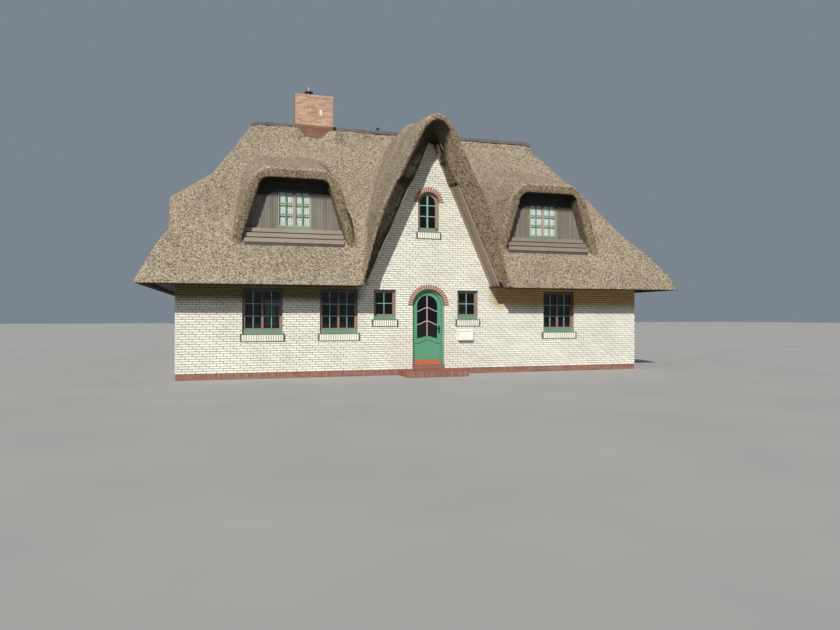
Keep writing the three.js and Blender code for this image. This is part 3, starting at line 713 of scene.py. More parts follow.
def casement(brown, bars, left, right, low, high, near, far, columns, rows, stiles, wide):
    """One leaf: its left and right stile, two rails and its glazing bars."""
    first, last = stiles
    for a, b in ((left, left + first), (right - last, right)):
        box(brown, a, b, near, far, low, high, EASED)
    for a, b in ((low, low + RAIL), (high - STILE, high)):
        box(brown, left, right, near + 0.001, far, a, b, EASED)
    left, right, low, high = left + first, right - last, low + RAIL, high - STILE
    near += BAR_BACK
    for i in range(1, columns):
        x = left + (right - left) * i / columns
        box(bars, x - wide / 2, x + wide / 2, near, far, low, high, BAR_EASED)
    for i in range(1, rows):
        z = low + (high - low) * i / rows
        box(bars, left, right, near + 0.001, far, z - wide / 2, z + wide / 2, BAR_EASED)


def window(meshes, x, half, foot, head, near, leaves, columns, rows, sizes=WINDOW_SIZES):
    """A box frame with its leaves, facing -Y with its face at near."""
    green, brown, bars = meshes
    board, edge, deep, meeting, bar = sizes
    far = near + deep
    for side in (-1, 1):
        a, b = sorted((x + side * half, x + side * (half - edge)))
        box(green, a, b, near, far, foot, head, EASED)
        a, b = sorted((x + side * (half - edge), x + side * (half - FRAME_WIDE)))
        box(brown, a, b, near + 0.002, far, foot + board, head - FRAME_WIDE, EASED / 2)
    box(green, x - half, x + half, near, far, head - FRAME_WIDE, head, EASED)
    box(green, x - half, x + half, near - 0.004, far, foot, foot + board, 0.003)
    low, high = foot + board + 0.001, head - FRAME_WIDE - 0.001
    start = x - half + FRAME_WIDE
    step = 2 * (half - FRAME_WIDE) / leaves
    for i in range(leaves):
        ends = (start + i * step + LEAF_GAP, start + (i + 1) * step - LEAF_GAP)
        stiles = (STILE if i == 0 else meeting, STILE if i == leaves - 1 else meeting)
        casement(brown, bars, *ends, low, high, near + LEAF_BACK, far, columns, rows, stiles, bar)


def hoop(mesh, spring, inner, outer, near, far):
    """Half a ring over a springing line, spun from its section."""
    section = bmesh.ops.create_grid(mesh, x_segments=1, y_segments=1, size=0.5)["verts"]
    for vert in section:
        along = inner + (outer - inner) * (vert.co.x + 0.5)
        vert.co = (along, near + (far - near) * (vert.co.y + 0.5), spring)
    faces = list({face for vert in section for face in vert.link_faces})
    bmesh.ops.spin(
        mesh,
        geom=section + [edge for face in faces for edge in face.edges] + faces,
        cent=(0, 0, spring),
        axis=(0, -1, 0),
        angle=math.pi,
        steps=24,
        use_merge=False,
    )
    bmesh.ops.recalc_face_normals(mesh, faces=mesh.faces[:])


def arched_band(mesh, spring, foot, inner, outer, near, far):
    """A hoop on two straight legs."""
    hoop(mesh, spring, inner, outer, near, far)
    for side in (-1, 1):
        a, b = sorted((side * inner, side * outer))
        box(mesh, a, b, near, far, foot, spring)


def joinery():
    return bmesh.new(), bmesh.new(), bmesh.new()


meshes = joinery()
near = FRONT + FRAME_BACK
for x, kind in front_windows.values():
    foot = level(kind["foot"])
    wide = kind is big
    window(meshes, x, kind["half"], foot, WINDOW_HEAD, near, 2 if wide else 1, 2, 3 if wide else 2)
back_meshes = joinery()
for x, kind in back_windows.values():
    foot = level(kind["foot"])
    window(back_meshes, x, kind["half"], foot, WINDOW_HEAD, near, 2, 2, 3)
for target, part in zip(meshes, back_meshes):
    joined(target, turned(part, 2))

ARCH_FRAME = GABLE_R - 0.013
ARCH_LIGHT = GABLE_R - 0.085
ARCH_BOARD_TOP = GABLE_FOOT + 0.075
ARCH_RAIL_TOP = GABLE_FOOT + 0.125
ARCH_BAR_FOOT = GABLE_FOOT + 0.12
ARCH_BAR_TOP = GABLE_SPRING + GABLE_R - 0.086
MIDDLE_BAR, CROSS_BAR = 0.024, 0.014
green, brown, bars = meshes
far = near + FRAME_DEEP
leaf_near = near + LEAF_BACK
arched_band(green, GABLE_SPRING, GABLE_FOOT, ARCH_FRAME, GABLE_R - 0.002, near, far)
arched_band(brown, GABLE_SPRING, GABLE_FOOT + SILL_BOARD, ARCH_LIGHT, ARCH_FRAME, leaf_near, far)
reach = GABLE_R - 0.003
box(green, -reach, reach, near - 0.004, far, GABLE_FOOT, ARCH_BOARD_TOP, 0.003)
reach = ARCH_LIGHT + 0.005
box(brown, -reach, reach, leaf_near, far, ARCH_BOARD_TOP, ARCH_RAIL_TOP, EASED)
bar_near = leaf_near + BAR_BACK
box(bars, -MIDDLE_BAR, MIDDLE_BAR, bar_near, far, ARCH_BAR_FOOT, ARCH_BAR_TOP, BAR_EASED)
reach = ARCH_LIGHT + 0.001
for part_way in (0.36, 0.69):
    z = ARCH_BAR_FOOT + (ARCH_BAR_TOP - ARCH_BAR_FOOT) * part_way
    box(bars, -reach, reach, bar_near + 0.001, far, z - CROSS_BAR, z + CROSS_BAR, BAR_EASED)
window_nodes = ["window_" + n for n in front_windows] + ["back_window_" + n for n in back_windows]
window_nodes.append("gable_window")
piece("window_frames", green, green_joinery, stands_for=window_nodes)
piece("window_leaves", brown, brown_joinery)
piece("window_bars", bars, pale_bars)


# Glass: single drawn panes, held in putty behind the bars, tinted near black as painted shade for
# the rooms behind.
# The panes of the dormers are clear and let the sun in to the curtains.
def glass_material(name, tint, lets_sun_in=False):
    material, tree, shader, coords = new_material(
        name, Roughness=0.03, IOR=1.5, Transmission_Weight=1.0, Specular_IOR_Level=0.2
    )
    shader.inputs["Base Color"].default_value = opaque(tint)
    bumped(tree, shader, noise(tree, coords, 2.5, 1.0), 0.04, 0.01)
    if lets_sun_in:
        rays = add(tree, "LightPath").outputs
        straight = maths(tree, "MAXIMUM", rays["Is Shadow Ray"], rays["Is Diffuse Ray"])
        clear = add(tree, "BsdfTransparent", Color=(0.84, 0.88, 0.87)).outputs["BSDF"]
        pane = add(tree, "MixShader", i0=straight, i1=shader.outputs["BSDF"], i2=clear)
        tree.links.new(pane.outputs["Shader"], tree.nodes["Material Output"].inputs["Surface"])
    return material


# The window panes' dark tint is painted shade for the rooms behind them.
window_glass = glass_material("window_glass", (0.26, 0.29, 0.27))
dress(window_glass, *[name for name in nodes if "glass" in name and "dormer" not in name])
dormer_glass = glass_material("dormer_glass", (0.94, 0.97, 0.97), True)
dress(dormer_glass, *[name for name in nodes if "glass" in name and "dormer" in name])


# Front door: a green boarded leaf with an arched light, pale bowed bars and a red kick plate.
# It hangs on three pin hinges in a green frame; the lever handle is black.
door_green = wood_material(
    "door_green", (0.112, 0.335, 0.21), (0.082, 0.265, 0.16), ALONG_Z, 0.4, 0.4, 0.12
)
frame_green = wood_material(
    "frame_green", (0.145, 0.33, 0.225), (0.095, 0.24, 0.155), ALONG_Z, 0.5, 0.45, 0.15
)
pink_bars = wood_material(
    "pink_bars", (0.60, 0.44, 0.45), (0.46, 0.33, 0.34), ALONG_Z, 0.3, 0.5, 0.1
)
kick_red = wood_material(
    "kick_red", (0.55, 0.155, 0.07), (0.42, 0.11, 0.05), ALONG_X, 0.4, 0.5, 0.15
)
dress(frame_green, "door_frame")
dress(door_green, "door_leaf")
LEAF_FACE = FRONT + 0.145
LEAF_SKIN = LEAF_FACE + 0.001
LIGHT_R = 0.300
LIGHT_BOTTOM = 1.000
LIGHT_BOW = 0.062
MOULD_R = LIGHT_R + 0.026
MOULD_FACE = LEAF_FACE - 0.007
DRIP_REACH, DRIP_BOW, DRIP_R = 0.392, 0.095, 0.33
DRIP_STEPS = ((0.024, 0.868, 0.892), (0.012, 0.892, 0.925))
PANEL_FACE = LEAF_FACE - 0.006
PANEL_HALF = 0.368
PANEL_FOOT = 0.43
PANEL_EASED = 0.004
CROSS_BARS = (1.76, 1.385)
CROSS_RISE = 0.10


def bowed(mesh, reach, near, far, low, high, rise, radius=LIGHT_R):
    """A strip across the leaf, bowed up in the middle; it lies level past the radius."""
    made = bmesh.ops.create_grid(mesh, x_segments=24, y_segments=1, size=1.0)["verts"]
    faces = list({face for vert in made for face in vert.link_faces})
    for vert in made:
        x = vert.co.x * reach
        lift = rise * (1 + math.cos(math.pi * min(1.0, abs(x) / radius))) / 2
        vert.co = (x, near, lift + (high if vert.co.y > 0 else low))
    grown = bmesh.ops.extrude_face_region(mesh, geom=faces)["geom"]
    for item in grown:
        if isinstance(item, bmesh.types.BMVert):
            item.co.y = far
    bmesh.ops.recalc_face_normals(mesh, faces=mesh.faces[:])


mould = bmesh.new()
legs = (LIGHT_BOTTOM - 0.01, LIGHT_R - 0.002, MOULD_R)
arched_band(mould, DOOR_SPRING, *legs, MOULD_FACE, LEAF_SKIN)
sill = (LIGHT_BOTTOM - 0.024, LIGHT_BOTTOM + 0.002)
bowed(mould, MOULD_R, MOULD_FACE, LEAF_SKIN, *sill, LIGHT_BOW)
for out, low, high in DRIP_STEPS:
    bowed(mould, DRIP_REACH, LEAF_FACE - out, LEAF_SKIN, low, high, DRIP_BOW, DRIP_R)
for side in (-1, 1):
    a, b = sorted((side * (PANEL_HALF - 0.016), side * PANEL_HALF))
    box(mould, a, b, PANEL_FACE, LEAF_SKIN, PANEL_FOOT + 0.01, 0.84, PANEL_EASED)
foot_rail = (PANEL_FOOT, PANEL_FOOT + 0.016)
box(mould, -PANEL_HALF, PANEL_HALF, PANEL_FACE, LEAF_SKIN, *foot_rail, PANEL_EASED)
piece("door_mouldings", mould, door_green, "door")
door_bars = bmesh.new()
upright = (LIGHT_BOTTOM + LIGHT_BOW - 0.002, DOOR_SPRING + LIGHT_R)
for behind, deep in ((0.004, 0.0192), (0.0258, 0.041)):
    near, far = LEAF_FACE + behind, LEAF_FACE + deep
    box(door_bars, -0.013, 0.013, near, far, *upright, BAR_EASED)
    for z in CROSS_BARS:
        bowed(door_bars, LIGHT_R, near + 0.001, far - 0.001, z - 0.011, z + 0.011, CROSS_RISE)
piece("door_bars", door_bars, pink_bars, "door")
kick = bmesh.new()
box(kick, -0.400, 0.400, LEAF_FACE - 0.003, LEAF_SKIN, 0.264, 0.402, EASED)
piece("kick_plate", kick, kick_red, "door")


def mottled_material(name, first, second, scale, detail=3.0, **constants):
    """A plain finish that varies a little between two colours."""
    material, tree, shader, coords = new_material(name, **constants)
    shade = ramp(tree, noise(tree, coords, scale, detail), (0.3, first), (0.7, second))
    tree.links.new(shade, shader.inputs["Base Color"])
    return material


black_metal = mottled_material(
    "black_metal", grey(0.015), grey(0.04), 30.0, Roughness=0.4, Metallic=0.8
)
dress(black_metal, "door_handle")


# Letter box: a white enamelled steel box with a sloping lid, screwed to the bricks.
# A door of the same sheet closes its front below the lid.
white_metal = mottled_material(
    "white_metal", (0.78, 0.775, 0.75), (0.86, 0.855, 0.835), 6.0, 4.0, Roughness=0.35
)
dress(white_metal, "letter_box")
FLAP_INSET = 0.03
FLAP_TOP = 0.215
low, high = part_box("letter_box")
flap = bmesh.new()
ends = (low.x + FLAP_INSET, high.x - FLAP_INSET)
box(flap, *ends, low.y + 0.010, low.y + 0.020, low.z + FLAP_INSET, low.z + FLAP_TOP, EASED)
piece("letter_box_door", flap, white_metal)


# Thatch: reed laid about a third of a metre thick, combed and rounded over hips, valleys and hoods.
# It is one coat, made from the roof's solids grown together, worn round and roughened.
THATCH = [name for name in nodes if name.startswith("thatch_")]
CREST = ["ridge_cap"]
VOXEL = 0.06
ROUNDING = 12
DORMER_X = 3.670
MOUND_Y, MOUND_DEEP = -0.42, 0.15
MOUNDS = ((-3.36, 7.40, 0.33, 0.34), (-2.12, 7.40, 0.33, 0.34), (-2.74, 7.30, 0.62, 0.12))


def modified(source, name, changes, weigh=None):
    """A copy of a mesh with modifiers applied for good; weigh fills the group that they may use."""
    worker = bpy.data.objects.new("worker", source)
    bpy.context.scene.collection.objects.link(worker)
    if weigh:
        group = worker.vertex_groups.new(name="weighed")
        for vert in source.vertices:
            group.add([vert.index], min(1.0, max(0.0, weigh(vert))), "REPLACE")
    for kind, settings in changes:
        modifier = worker.modifiers.new(kind, kind)
        for key, value in settings.items():
            setattr(modifier, key, value)
    bpy.context.view_layer.update()
    graph = bpy.context.evaluated_depsgraph_get()
    made = bpy.data.meshes.new_from_object(worker.evaluated_get(graph))
    made.name = name
    bpy.data.objects.remove(worker)
    return made


def cloud(name, size, depth=2):
    texture = bpy.data.textures.new(name, "CLOUDS")
    texture.noise_scale = size
    texture.noise_depth = depth
    return texture


def grown_together(names):
    """Copies of CAD solids in one mesh."""
    mesh = bmesh.new()
    for name in names:
        mesh.from_mesh(nodes[name].data)
    bmesh.ops.remove_doubles(mesh, verts=mesh.verts, dist=0.00005)
    data = bpy.data.meshes.new("grown")
    mesh.to_mesh(data)
    mesh.free()
    return data


def roughened(data, name, textures):
    """The mesh pushed in and out along its normals, only where the weather reaches it."""
    shared = {"texture_coords": "LOCAL", "mid_level": 0.5, "vertex_group": "weighed"}
    changes = [
        ("DISPLACE", {"texture": texture, "strength": strength, **shared})
        for texture, strength in textures
    ]
    return modified(data, name, changes, lambda vert: (vert.normal.z + 0.75) / 0.5)


grown = grown_together(THATCH + CREST)
# the reed rides up on the foot of the chimney, most at its corners
for x, z, wide, high in MOUNDS:
    mound = bmesh.new()
    mound.from_mesh(grown)
    place = Matrix.Translation((x, MOUND_Y, z)) @ Matrix.Diagonal((wide, MOUND_DEEP, high, 1))
    bmesh.ops.create_icosphere(mound, subdivisions=2, radius=1.0, matrix=place)
    mound.to_mesh(grown)
    mound.free()
blocky = modified(grown, "thatch_blocky", [("REMESH", {"mode": "VOXEL", "voxel_size": VOXEL})])


def share(value, start, full):
    return min(1.0, max(0.0, (value - start) / (full - start)))


# how far the reed has moved by height or depth, and the stretches over which that sets in
RIGHT_HIP = ((4.2, 0.0), (4.6, 0.11), (5.0, 0.19), (5.45, 0.26), (6.2, 0.30), (7.0, 0.31))
RIGHT_HIP += ((7.6, 0.33), (9.0, 0.33))
RIGHT_EAVE = ((2.3, 0.03), (2.6, 0.10), (2.8, 0.17), (3.05, 0.17), (3.3, 0.10), (4.0, 0.03))
RIGHT_EAVE += ((4.3, 0.0),)
GABLE_CREST = ((-5.2, 0.10), (-4.95, 0.12), (-4.0, 0.19), (-2.5, 0.24), (-0.9, 0.06), (0.0, 0.0))
CREST_ACROSS, CREST_UP = (-1.25, -0.15), (5.2, 6.2)
RIDGE_WEAR = ((-1, 4.45, 4.80, 0.09), (1, 4.55, 4.85, 0.10))
RIDGE_UP = (7.15, 7.75)
PLANKS_LEAN = (0.9137, 0.4061)
PLANKS_CLEAR, PLANKS_REACH = 0.012, 0.4
SHOULDER_WEAR = 0.12
SHOULDER_OUT, SHOULDER_BACK, SHOULDER_UP = (0.75, 1.20), (2.6, 3.0), (5.1, 5.4)
HIP_START, HIP_NEARER, HIP_OVER = 4.95, 1.05, 0.75
REED_END = 7.452


def settled(vert):
    """Where the reed has come to lie: worn at the ridge's ends, fuller on the right hip."""
    x, y, z = vert.co
    for side, start, full, worn in RIDGE_WEAR:
        z -= worn * share(side * x, start, full) * share(z, *RIDGE_UP)
    crest = between(y, GABLE_CREST) * share(-abs(x), *CREST_ACROSS) * share(z, *CREST_UP)
    z += crest * share(vert.normal.z, -0.3, 0.3)
    if -5.2 < y < -4.13 and 2.3 < z < 5.95 and abs(x) < 2.2:
        (foot_z, foot_x), (across, up) = HOOD_UNDER[0], PLANKS_LEAN
        clear = PLANKS_CLEAR - (abs(x) - foot_x) * across - (z - foot_z) * up
        if 0.0 < clear < PLANKS_REACH:
            x += math.copysign(clear * across, x)
            z += clear * up
    shoulder = share(abs(abs(x) - DORMER_X), *SHOULDER_OUT) * share(abs(y), *SHOULDER_BACK)
    z -= SHOULDER_WEAR * shoulder * share(z, *SHOULDER_UP)
    start = HIP_START - HIP_NEARER * share(z, 5.6, 6.4)
    beside = share(x, start, start + HIP_OVER)
    clear_of_dormer = max(share(abs(y), 1.75, 2.10), share(z, 5.3, 5.6))
    x += between(z, RIGHT_HIP) * beside * clear_of_dormer
    if y < -1.7:
        x += between(z, RIGHT_EAVE) * share(x, 6.2, 6.7) * share(-y, 1.7, 2.3)
    return min(x, REED_END), y, z


def settle_mesh(data):
    """Every vertex moved at once, as all the normals are needed first."""
    places = [settled(vert) for vert in data.vertices]
    for vert, place in zip(data.vertices, places):
        vert.co = place


DORMER_LIP, GABLE_LIP, SIDE_LIP = (4.12, 0.15), (4.95, 0.12), (6.95, 0.12)
HELD = 0.12


def short_of(lip, place):
    """How freely the reed flows near a lip, which is held in place."""
    edge, deep = lip
    return min(1.0, max(HELD, (edge - place) / deep))


def flowing(vert):
    """Where the reed flows: fully on slopes and valleys, hardly at the eaves and the hood lips."""
    x, y, z = vert.co
    lip = short_of(DORMER_LIP, abs(y)) if z > 3.45 and abs(x) > 1.9 else 1.0
    if abs(x) < 2.3 and y < 0:
        lip = short_of(GABLE_LIP, -y)
    end = short_of(SIDE_LIP, abs(x)) if z > 3.3 else 1.0
    return min((z - 2.7) / 0.7, lip, end)


easing = [
    ("SMOOTH", {"factor": 0.5, "iterations": ROUNDING, "vertex_group": "weighed"}),
    ("SMOOTH", {"factor": 0.5, "iterations": 2}),
]
rounded = modified(blocky, "thatch_rounded", easing, flowing)
settle_mesh(rounded)
hollows, tufts = cloud("hollows", 0.9), cloud("tufts", 0.16, 1)
reed_mesh = roughened(rounded, "thatch", [(hollows, 0.05), (tufts, 0.016)])


CUT_ENDS = (0.66, 0.62, 0.57)
UNDERSIDE_SHADE = (0.016, 0.013, 0.010)


def reed_group():
    """Weathered reed: fine speckle of cut ends, streaks down the slope and mossy patches, with
    painted shade on the undersides.
    """
    takes = [
        ("Light", "Color", (0.5, 0.42, 0.3)),
        ("Dark", "Color", (0.14, 0.11, 0.08)),
        ("Moss", "Color", (0.10, 0.11, 0.05)),
        ("Mossy", "Float", 0.3),
    ]
    gives = [("Color", "Color"), ("Height", "Float")]
    tree, start, end = new_group("reed", takes, gives)
    coords = add(tree, "TexCoord").outputs["Object"]
    normal = add(tree, "SeparateXYZ", Vector=add(tree, "NewGeometry").outputs["Normal"]).outputs
    sideways = maths(tree, "ABSOLUTE", normal["X"])
    steep = maths(tree, "GREATER_THAN", sideways, 0.72)
    across = add(tree, "Mapping", Vector=coords, Scale=(1.0, 0.25, 0.25)).outputs["Vector"]
    along = add(tree, "Mapping", Vector=coords, Scale=(0.25, 1.0, 0.25)).outputs["Vector"]
    streaked = add(tree, "Mix", {"data_type": "VECTOR"}, i0=steep, i4=across, i5=along).outputs[1]
    straw = noise(tree, streaked, 70.0, 2.0, 0.6)
    cells = add(tree, "TexVoronoi", Vector=coords, Scale=36.0, Randomness=1.0)
    speck = add(tree, "SeparateXYZ", Vector=cells.outputs["Color"]).outputs["X"]
    fine = noise(tree, coords, 95.0, 3.0, 0.7)
    patch = noise(tree, coords, 0.55, 5.0, 0.6)
    wisp = noise(tree, streaked, 7.0, 3.0, 0.6)
    mixed = summed(tree, (speck, 0.32), (fine, 0.28), (straw, 0.40))
    pale = ramp(tree, mixed, (0.33, grey(0)), (0.66, grey(1)))
    colour = blend(tree, pale, start.outputs["Dark"], start.outputs["Light"])
    broad = summed(tree, (patch, 0.7), (wisp, 0.3))
    broad = ramp(tree, broad, (0.38, grey(0.86)), (0.62, grey(1.08)))
    colour = blend(tree, 1.0, colour, broad, "MULTIPLY")
    growth = ramp(tree, noise(tree, coords, 1.6, 6.0, 0.65), (0.52, grey(0)), (0.68, grey(1)))
    mossy = both(tree, growth, start.outputs["Mossy"])
    colour = blend(tree, mossy, colour, start.outputs["Moss"])
    place = add(tree, "SeparateXYZ", Vector=coords).outputs
    # Painted shade on the left of the gable hood, which faces away from the sun.
    hood = both(
        tree,
        maths(tree, "LESS_THAN", place["Y"], -4.16),
        maths(tree, "GREATER_THAN", place["Z"], EAVES_OVER),
        maths(tree, "LESS_THAN", maths(tree, "ABSOLUTE", place["X"]), 2.2),
        rising(tree, maths(tree, "MULTIPLY", place["X"], -1.0), -0.45, -0.20),
    )
    facing_down = maths(tree, "MULTIPLY", normal["Z"], -1.0)
    cut_ends = rising(tree, facing_down, -0.32, -0.08)
    cut_ends = both(tree, cut_ends, maths(tree, "LESS_THAN", place["Z"], 7.0))
    dulled = blend(tree, 1.0, colour, CUT_ENDS, "MULTIPLY")
    colour = blend(tree, cut_ends, colour, dulled)
    # Painted shade: faces that turn down are darkened nearly to black, sooner on the left of the
    # gable hood.
    limit = maths(tree, "SUBTRACT", maths(tree, "MULTIPLY", hood, 0.30), 0.42)
    under = maths(tree, "SUBTRACT", limit, normal["Z"])
    under = maths(tree, "MULTIPLY", under, 5.0, clamp=True)
    colour = blend(tree, maths(tree, "MULTIPLY", under, 0.95), colour, UNDERSIDE_SHADE)
    tree.links.new(colour, end.inputs["Color"])
    tree.links.new(summed(tree, (mixed, 1.0), (fine, 0.4)), end.inputs["Height"])
    return tree


REED = reed_group()


def reed_material(name, light, dark, moss, mossy):
    material, tree, shader, _ = new_material(name, Roughness=0.95, Specular_IOR_Level=0.15)
    reed = placed(tree, REED, Light=light, Dark=dark, Moss=moss, Mossy=mossy)
    tree.links.new(reed.outputs["Color"], shader.inputs["Base Color"])
    bumped(tree, shader, reed.outputs["Height"], 0.7, 0.012)
    return material


weathered_reed = reed_material(
    "weathered_reed", (0.49, 0.408, 0.30), (0.092, 0.074, 0.053), (0.17, 0.16, 0.09), 0.10
)


def sliced(mesh, point, way):
    """Cuts off what lies past a plane; returns the edges of the cut."""
    everything = mesh.verts[:] + mesh.edges[:] + mesh.faces[:]
    cut = bmesh.ops.bisect_plane(
        mesh, geom=everything, plane_co=point, plane_no=way, clear_outer=True
    )
    return [item for item in cut["geom_cut"] if isinstance(item, bmesh.types.BMEdge)]


def halved(data, side):
    """One side of the ridge line, closed where it is cut."""
    mesh = bmesh.new()
    mesh.from_mesh(data)
    way = (0, side, 0)
    edges = sliced(mesh, (0, 0, 0), way)
    bmesh.ops.triangle_fill(mesh, edges=edges, use_beauty=True, normal=way)
    return mesh


for name, side in (("thatch_front", 1), ("thatch_back", -1)):
    solids = [solid for solid in THATCH if ("back" in solid) == (side < 0)]
    half = halved(reed_mesh, side)
    piece(name, half, weathered_reed, stands_for=solids, smooth=True)


# Ridge cap: a strip of heather sods pinned over the crest, thin, tufted and grey with lichen.
# Its body has grown together with the thatch; only the top layer is a piece of its own.
SOD_THICK = 0.16
SOD_SHRINK = 0.985
SOD_LIFT = 0.035
SOD_VOXEL = 0.028
low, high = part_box("ridge_cap")
sods = grown_together(CREST)
cap = bmesh.new()
cap.from_mesh(sods)
sliced(cap, (0, 0, high.z - SOD_THICK), (0, 0, -1))
rim = [edge for edge in cap.edges if edge.is_boundary]
bmesh.ops.holes_fill(cap, edges=rim)
bmesh.ops.recalc_face_normals(cap, faces=cap.faces[:])
for vert in cap.verts:
    vert.co.x *= SOD_SHRINK
    vert.co.z += SOD_LIFT + SOD_LIFT * share(vert.co.x, 1.0, 2.5)
cap.to_mesh(sods)
cap.free()
cap_blocky = modified(sods, "cap_blocky", [("REMESH", {"mode": "VOXEL", "voxel_size": SOD_VOXEL})])
cap_round = modified(cap_blocky, "cap_round", [("SMOOTH", {"factor": 0.5, "iterations": 5})])
settle_mesh(cap_round)
lumps, tufts = cloud("sods", 0.30), cloud("heather", 0.07, 1)
cap_mesh = roughened(cap_round, "cap", [(lumps, 0.05), (tufts, 0.03)])
heather = reed_material(
    "heather", (0.205, 0.193, 0.195), (0.06, 0.057, 0.06), (0.12, 0.14, 0.08), 0.4
)
cap = bmesh.new()
cap.from_mesh(cap_mesh)
piece("ridge_sods", cap, heather, stands_for=CREST, smooth=True)


# Dormers: brown stained boards round a green window, under a thatched hood, over a stepped apron.
# The front pair has pale curtains; the others are the same joinery seen from the back and the ends.
FRONT_FACE = 3.845
SIDE_FACE = 6.800
SIDE_HIGH = 0.81
DORMER_SILL = 3.930
DORMER_HEAD = 5.000
DORMER_HALF = 0.475
DORMER_UNDER = ((0.700, 5.210), (0.820, 5.170), (0.900, 5.080), (1.300, 3.760), (1.420, 3.380))
BOARD_WIDE = 0.0765
BOARD_GAP = 0.002
LINTEL_BOARDS = 12
LINTEL_TOP = 5.205
# the same sizes as for the windows below, on the dormers
DORMER_WINDOW = (0.085, 0.030, 0.0625, 0.036, 0.034)
APRON_END = 1.29
APRON_STEPS = 3
APRON_OPEN = 0.046
APRON_THICK = 0.014


def toned_wood(name, light, dark, along):
    """Stained boards, each with its own tone."""
    material, tree, shader, coords = new_material(name, Roughness=0.8)
    tone = add(tree, "Attribute", {"attribute_name": "tone"}).outputs["Fac"]
    stretched = add(tree, "Mapping", Vector=coords, Scale=along).outputs["Vector"]
    wood = placed(tree, WOOD_GRAIN, Coords=stretched, Light=light, Dark=dark, Grain=1.4)
    shade = ramp(tree, tone, (0.0, grey(1.0)), (1.0, grey(0.72)))
    colour = blend(tree, 1.0, wood.outputs["Color"], shade, "MULTIPLY")
    tree.links.new(colour, shader.inputs["Base Color"])
    bumped(tree, shader, wood.outputs["Height"], 0.5, 0.003)
    return material


def risen(z, high):
    """A height above the sill, for a dormer that is lower than the front ones."""
    return DORMER_SILL + (z - DORMER_SILL) * high


def hood_height(x):
    """The underside of a dormer's hood at a distance from its middle; it is level over that."""
    return between(max(x, DORMER_UNDER[0][0]), DORMER_UNDER)


def dormer_boards(face, high):
    """Upright boards beside and over the window."""
    mesh = new_bricks()
    near, far = -face - 0.009, -face + 0.002
    count = int((APRON_END - DORMER_HALF) / BOARD_WIDE)
    for side in (-1, 1):
        for i in range(count + 1):
            inner = DORMER_HALF + i * BOARD_WIDE
            outer = min(inner + BOARD_WIDE, APRON_END - 0.04)
            left, right = sorted((side * (inner + BOARD_GAP), side * (outer - BOARD_GAP)))
            low = DORMER_SILL + 0.002
            made = box(mesh, left, right, near, far, low, DORMER_SILL + 0.1, EASED)
            for vert in made:
                if vert.co.z > DORMER_SILL + 0.05:
                    vert.co.z = risen(hood_height(abs(vert.co.x)), high) + 0.006
    wide = 2 * DORMER_HALF / LINTEL_BOARDS
    low, top = (risen(z, high) for z in (DORMER_HEAD + 0.002, LINTEL_TOP))
    for i in range(LINTEL_BOARDS):
        left = -DORMER_HALF + i * wide
        box(mesh, left + BOARD_GAP, left + wide - BOARD_GAP, near, far, low, top, EASED)
    return mesh


def dormer_apron(face, reach, drop):
    """Three boards under the window, each further out than the one above, and the tread of each."""
    mesh = new_bricks()
    ends = (-APRON_END, APRON_END)
    for i in range(APRON_STEPS):
        front = -face - reach * (i + 1) / APRON_STEPS
        back = front + reach / APRON_STEPS
        top = DORMER_SILL - drop * i
        low, high = top - drop + APRON_OPEN, top + 0.006
        tone = tones.random()
        box(mesh, *ends, front - APRON_THICK, front + 0.002, low, high, 0.003, tone)
        box(mesh, *ends, front + 0.002, back, top - 0.002, high, 0.0, tone)
    return mesh


def dormer_window(face, high):
    """The window of a dormer: four lights across and three up, on one fixed middle stile."""
    meshes = joinery()
    foot, head = DORMER_SILL - 0.001, risen(DORMER_HEAD, high) + 0.001
    near = -face - 0.018
    window(meshes, 0.0, DORMER_HALF + 0.001, foot, head, near, 2, 2, 3, DORMER_WINDOW)
    return meshes


def hood_painted_shade(tree, coords, place):
    """Painted shade just under the hood: boards and joinery are darkened from 4.76 m up, fully from
    4.86 m.
    """
    return rising(tree, place["Z"], 4.76, 4.86)


stained_boards = toned_wood(
    "stained_boards", (0.275, 0.25, 0.212), (0.155, 0.138, 0.122), ALONG_Z
)
plate_wood = wood_material("plate_wood", (0.10, 0.085, 0.07), (0.05, 0.042, 0.035), ALONG_Z)
leaf_paint = wood_material(
    "leaf_paint", (0.47, 0.345, 0.275), (0.38, 0.28, 0.22), ALONG_Z, 0.6, 0.5, 0.2
)
dormer_green = wood_material(
    "dormer_green", (0.16, 0.32, 0.23), (0.10, 0.225, 0.155), ALONG_X, 0.5, 0.45, 0.15
)
# Painted shade under the hood: a near-black tint on the boards, face plates, leaves and frames.
for covered in (stained_boards, plate_wood, leaf_paint, dormer_green):
    tinted_dirt_and_shade(covered, hood_painted_shade, (0.10, 0.09, 0.10))
apron_wood = toned_wood("apron_wood", (0.37, 0.315, 0.25), (0.25, 0.21, 0.165), ALONG_X)
dress(plate_wood, *[name for name in nodes if name.startswith("dormer_face")])
# the face's place, its height against the front ones, and the apron's reach and drop
long_side = (FRONT_FACE, 1.0, 0.390, 0.1476)
end_side = (SIDE_FACE, SIDE_HIGH, 0.235, 0.1412)
dormer_rows = (
    (long_side, 0, (-DORMER_X, DORMER_X)),
    (long_side, 2, (-DORMER_X, DORMER_X)),
    (end_side, -1, (0.0,)),
    (end_side, 1, (0.0,)),
)
boards, aprons = new_bricks(), new_bricks()
dormer_joinery = joinery()
for (face, high, reach, drop), quarter, places in dormer_rows:
    for x in places:
        shift = Matrix.Translation((x, 0, 0))
        parts = (dormer_boards(face, high), dormer_apron(face, reach, drop))
        parts += dormer_window(face, high)
        for target, part in zip((boards, aprons, *dormer_joinery), parts):
            bmesh.ops.transform(part, matrix=shift, verts=part.verts[:])
            joined(target, turned(part, quarter))
piece("dormer_boards", boards, stained_boards)
piece("dormer_aprons", aprons, apron_wood)
green, brown, bars = dormer_joinery
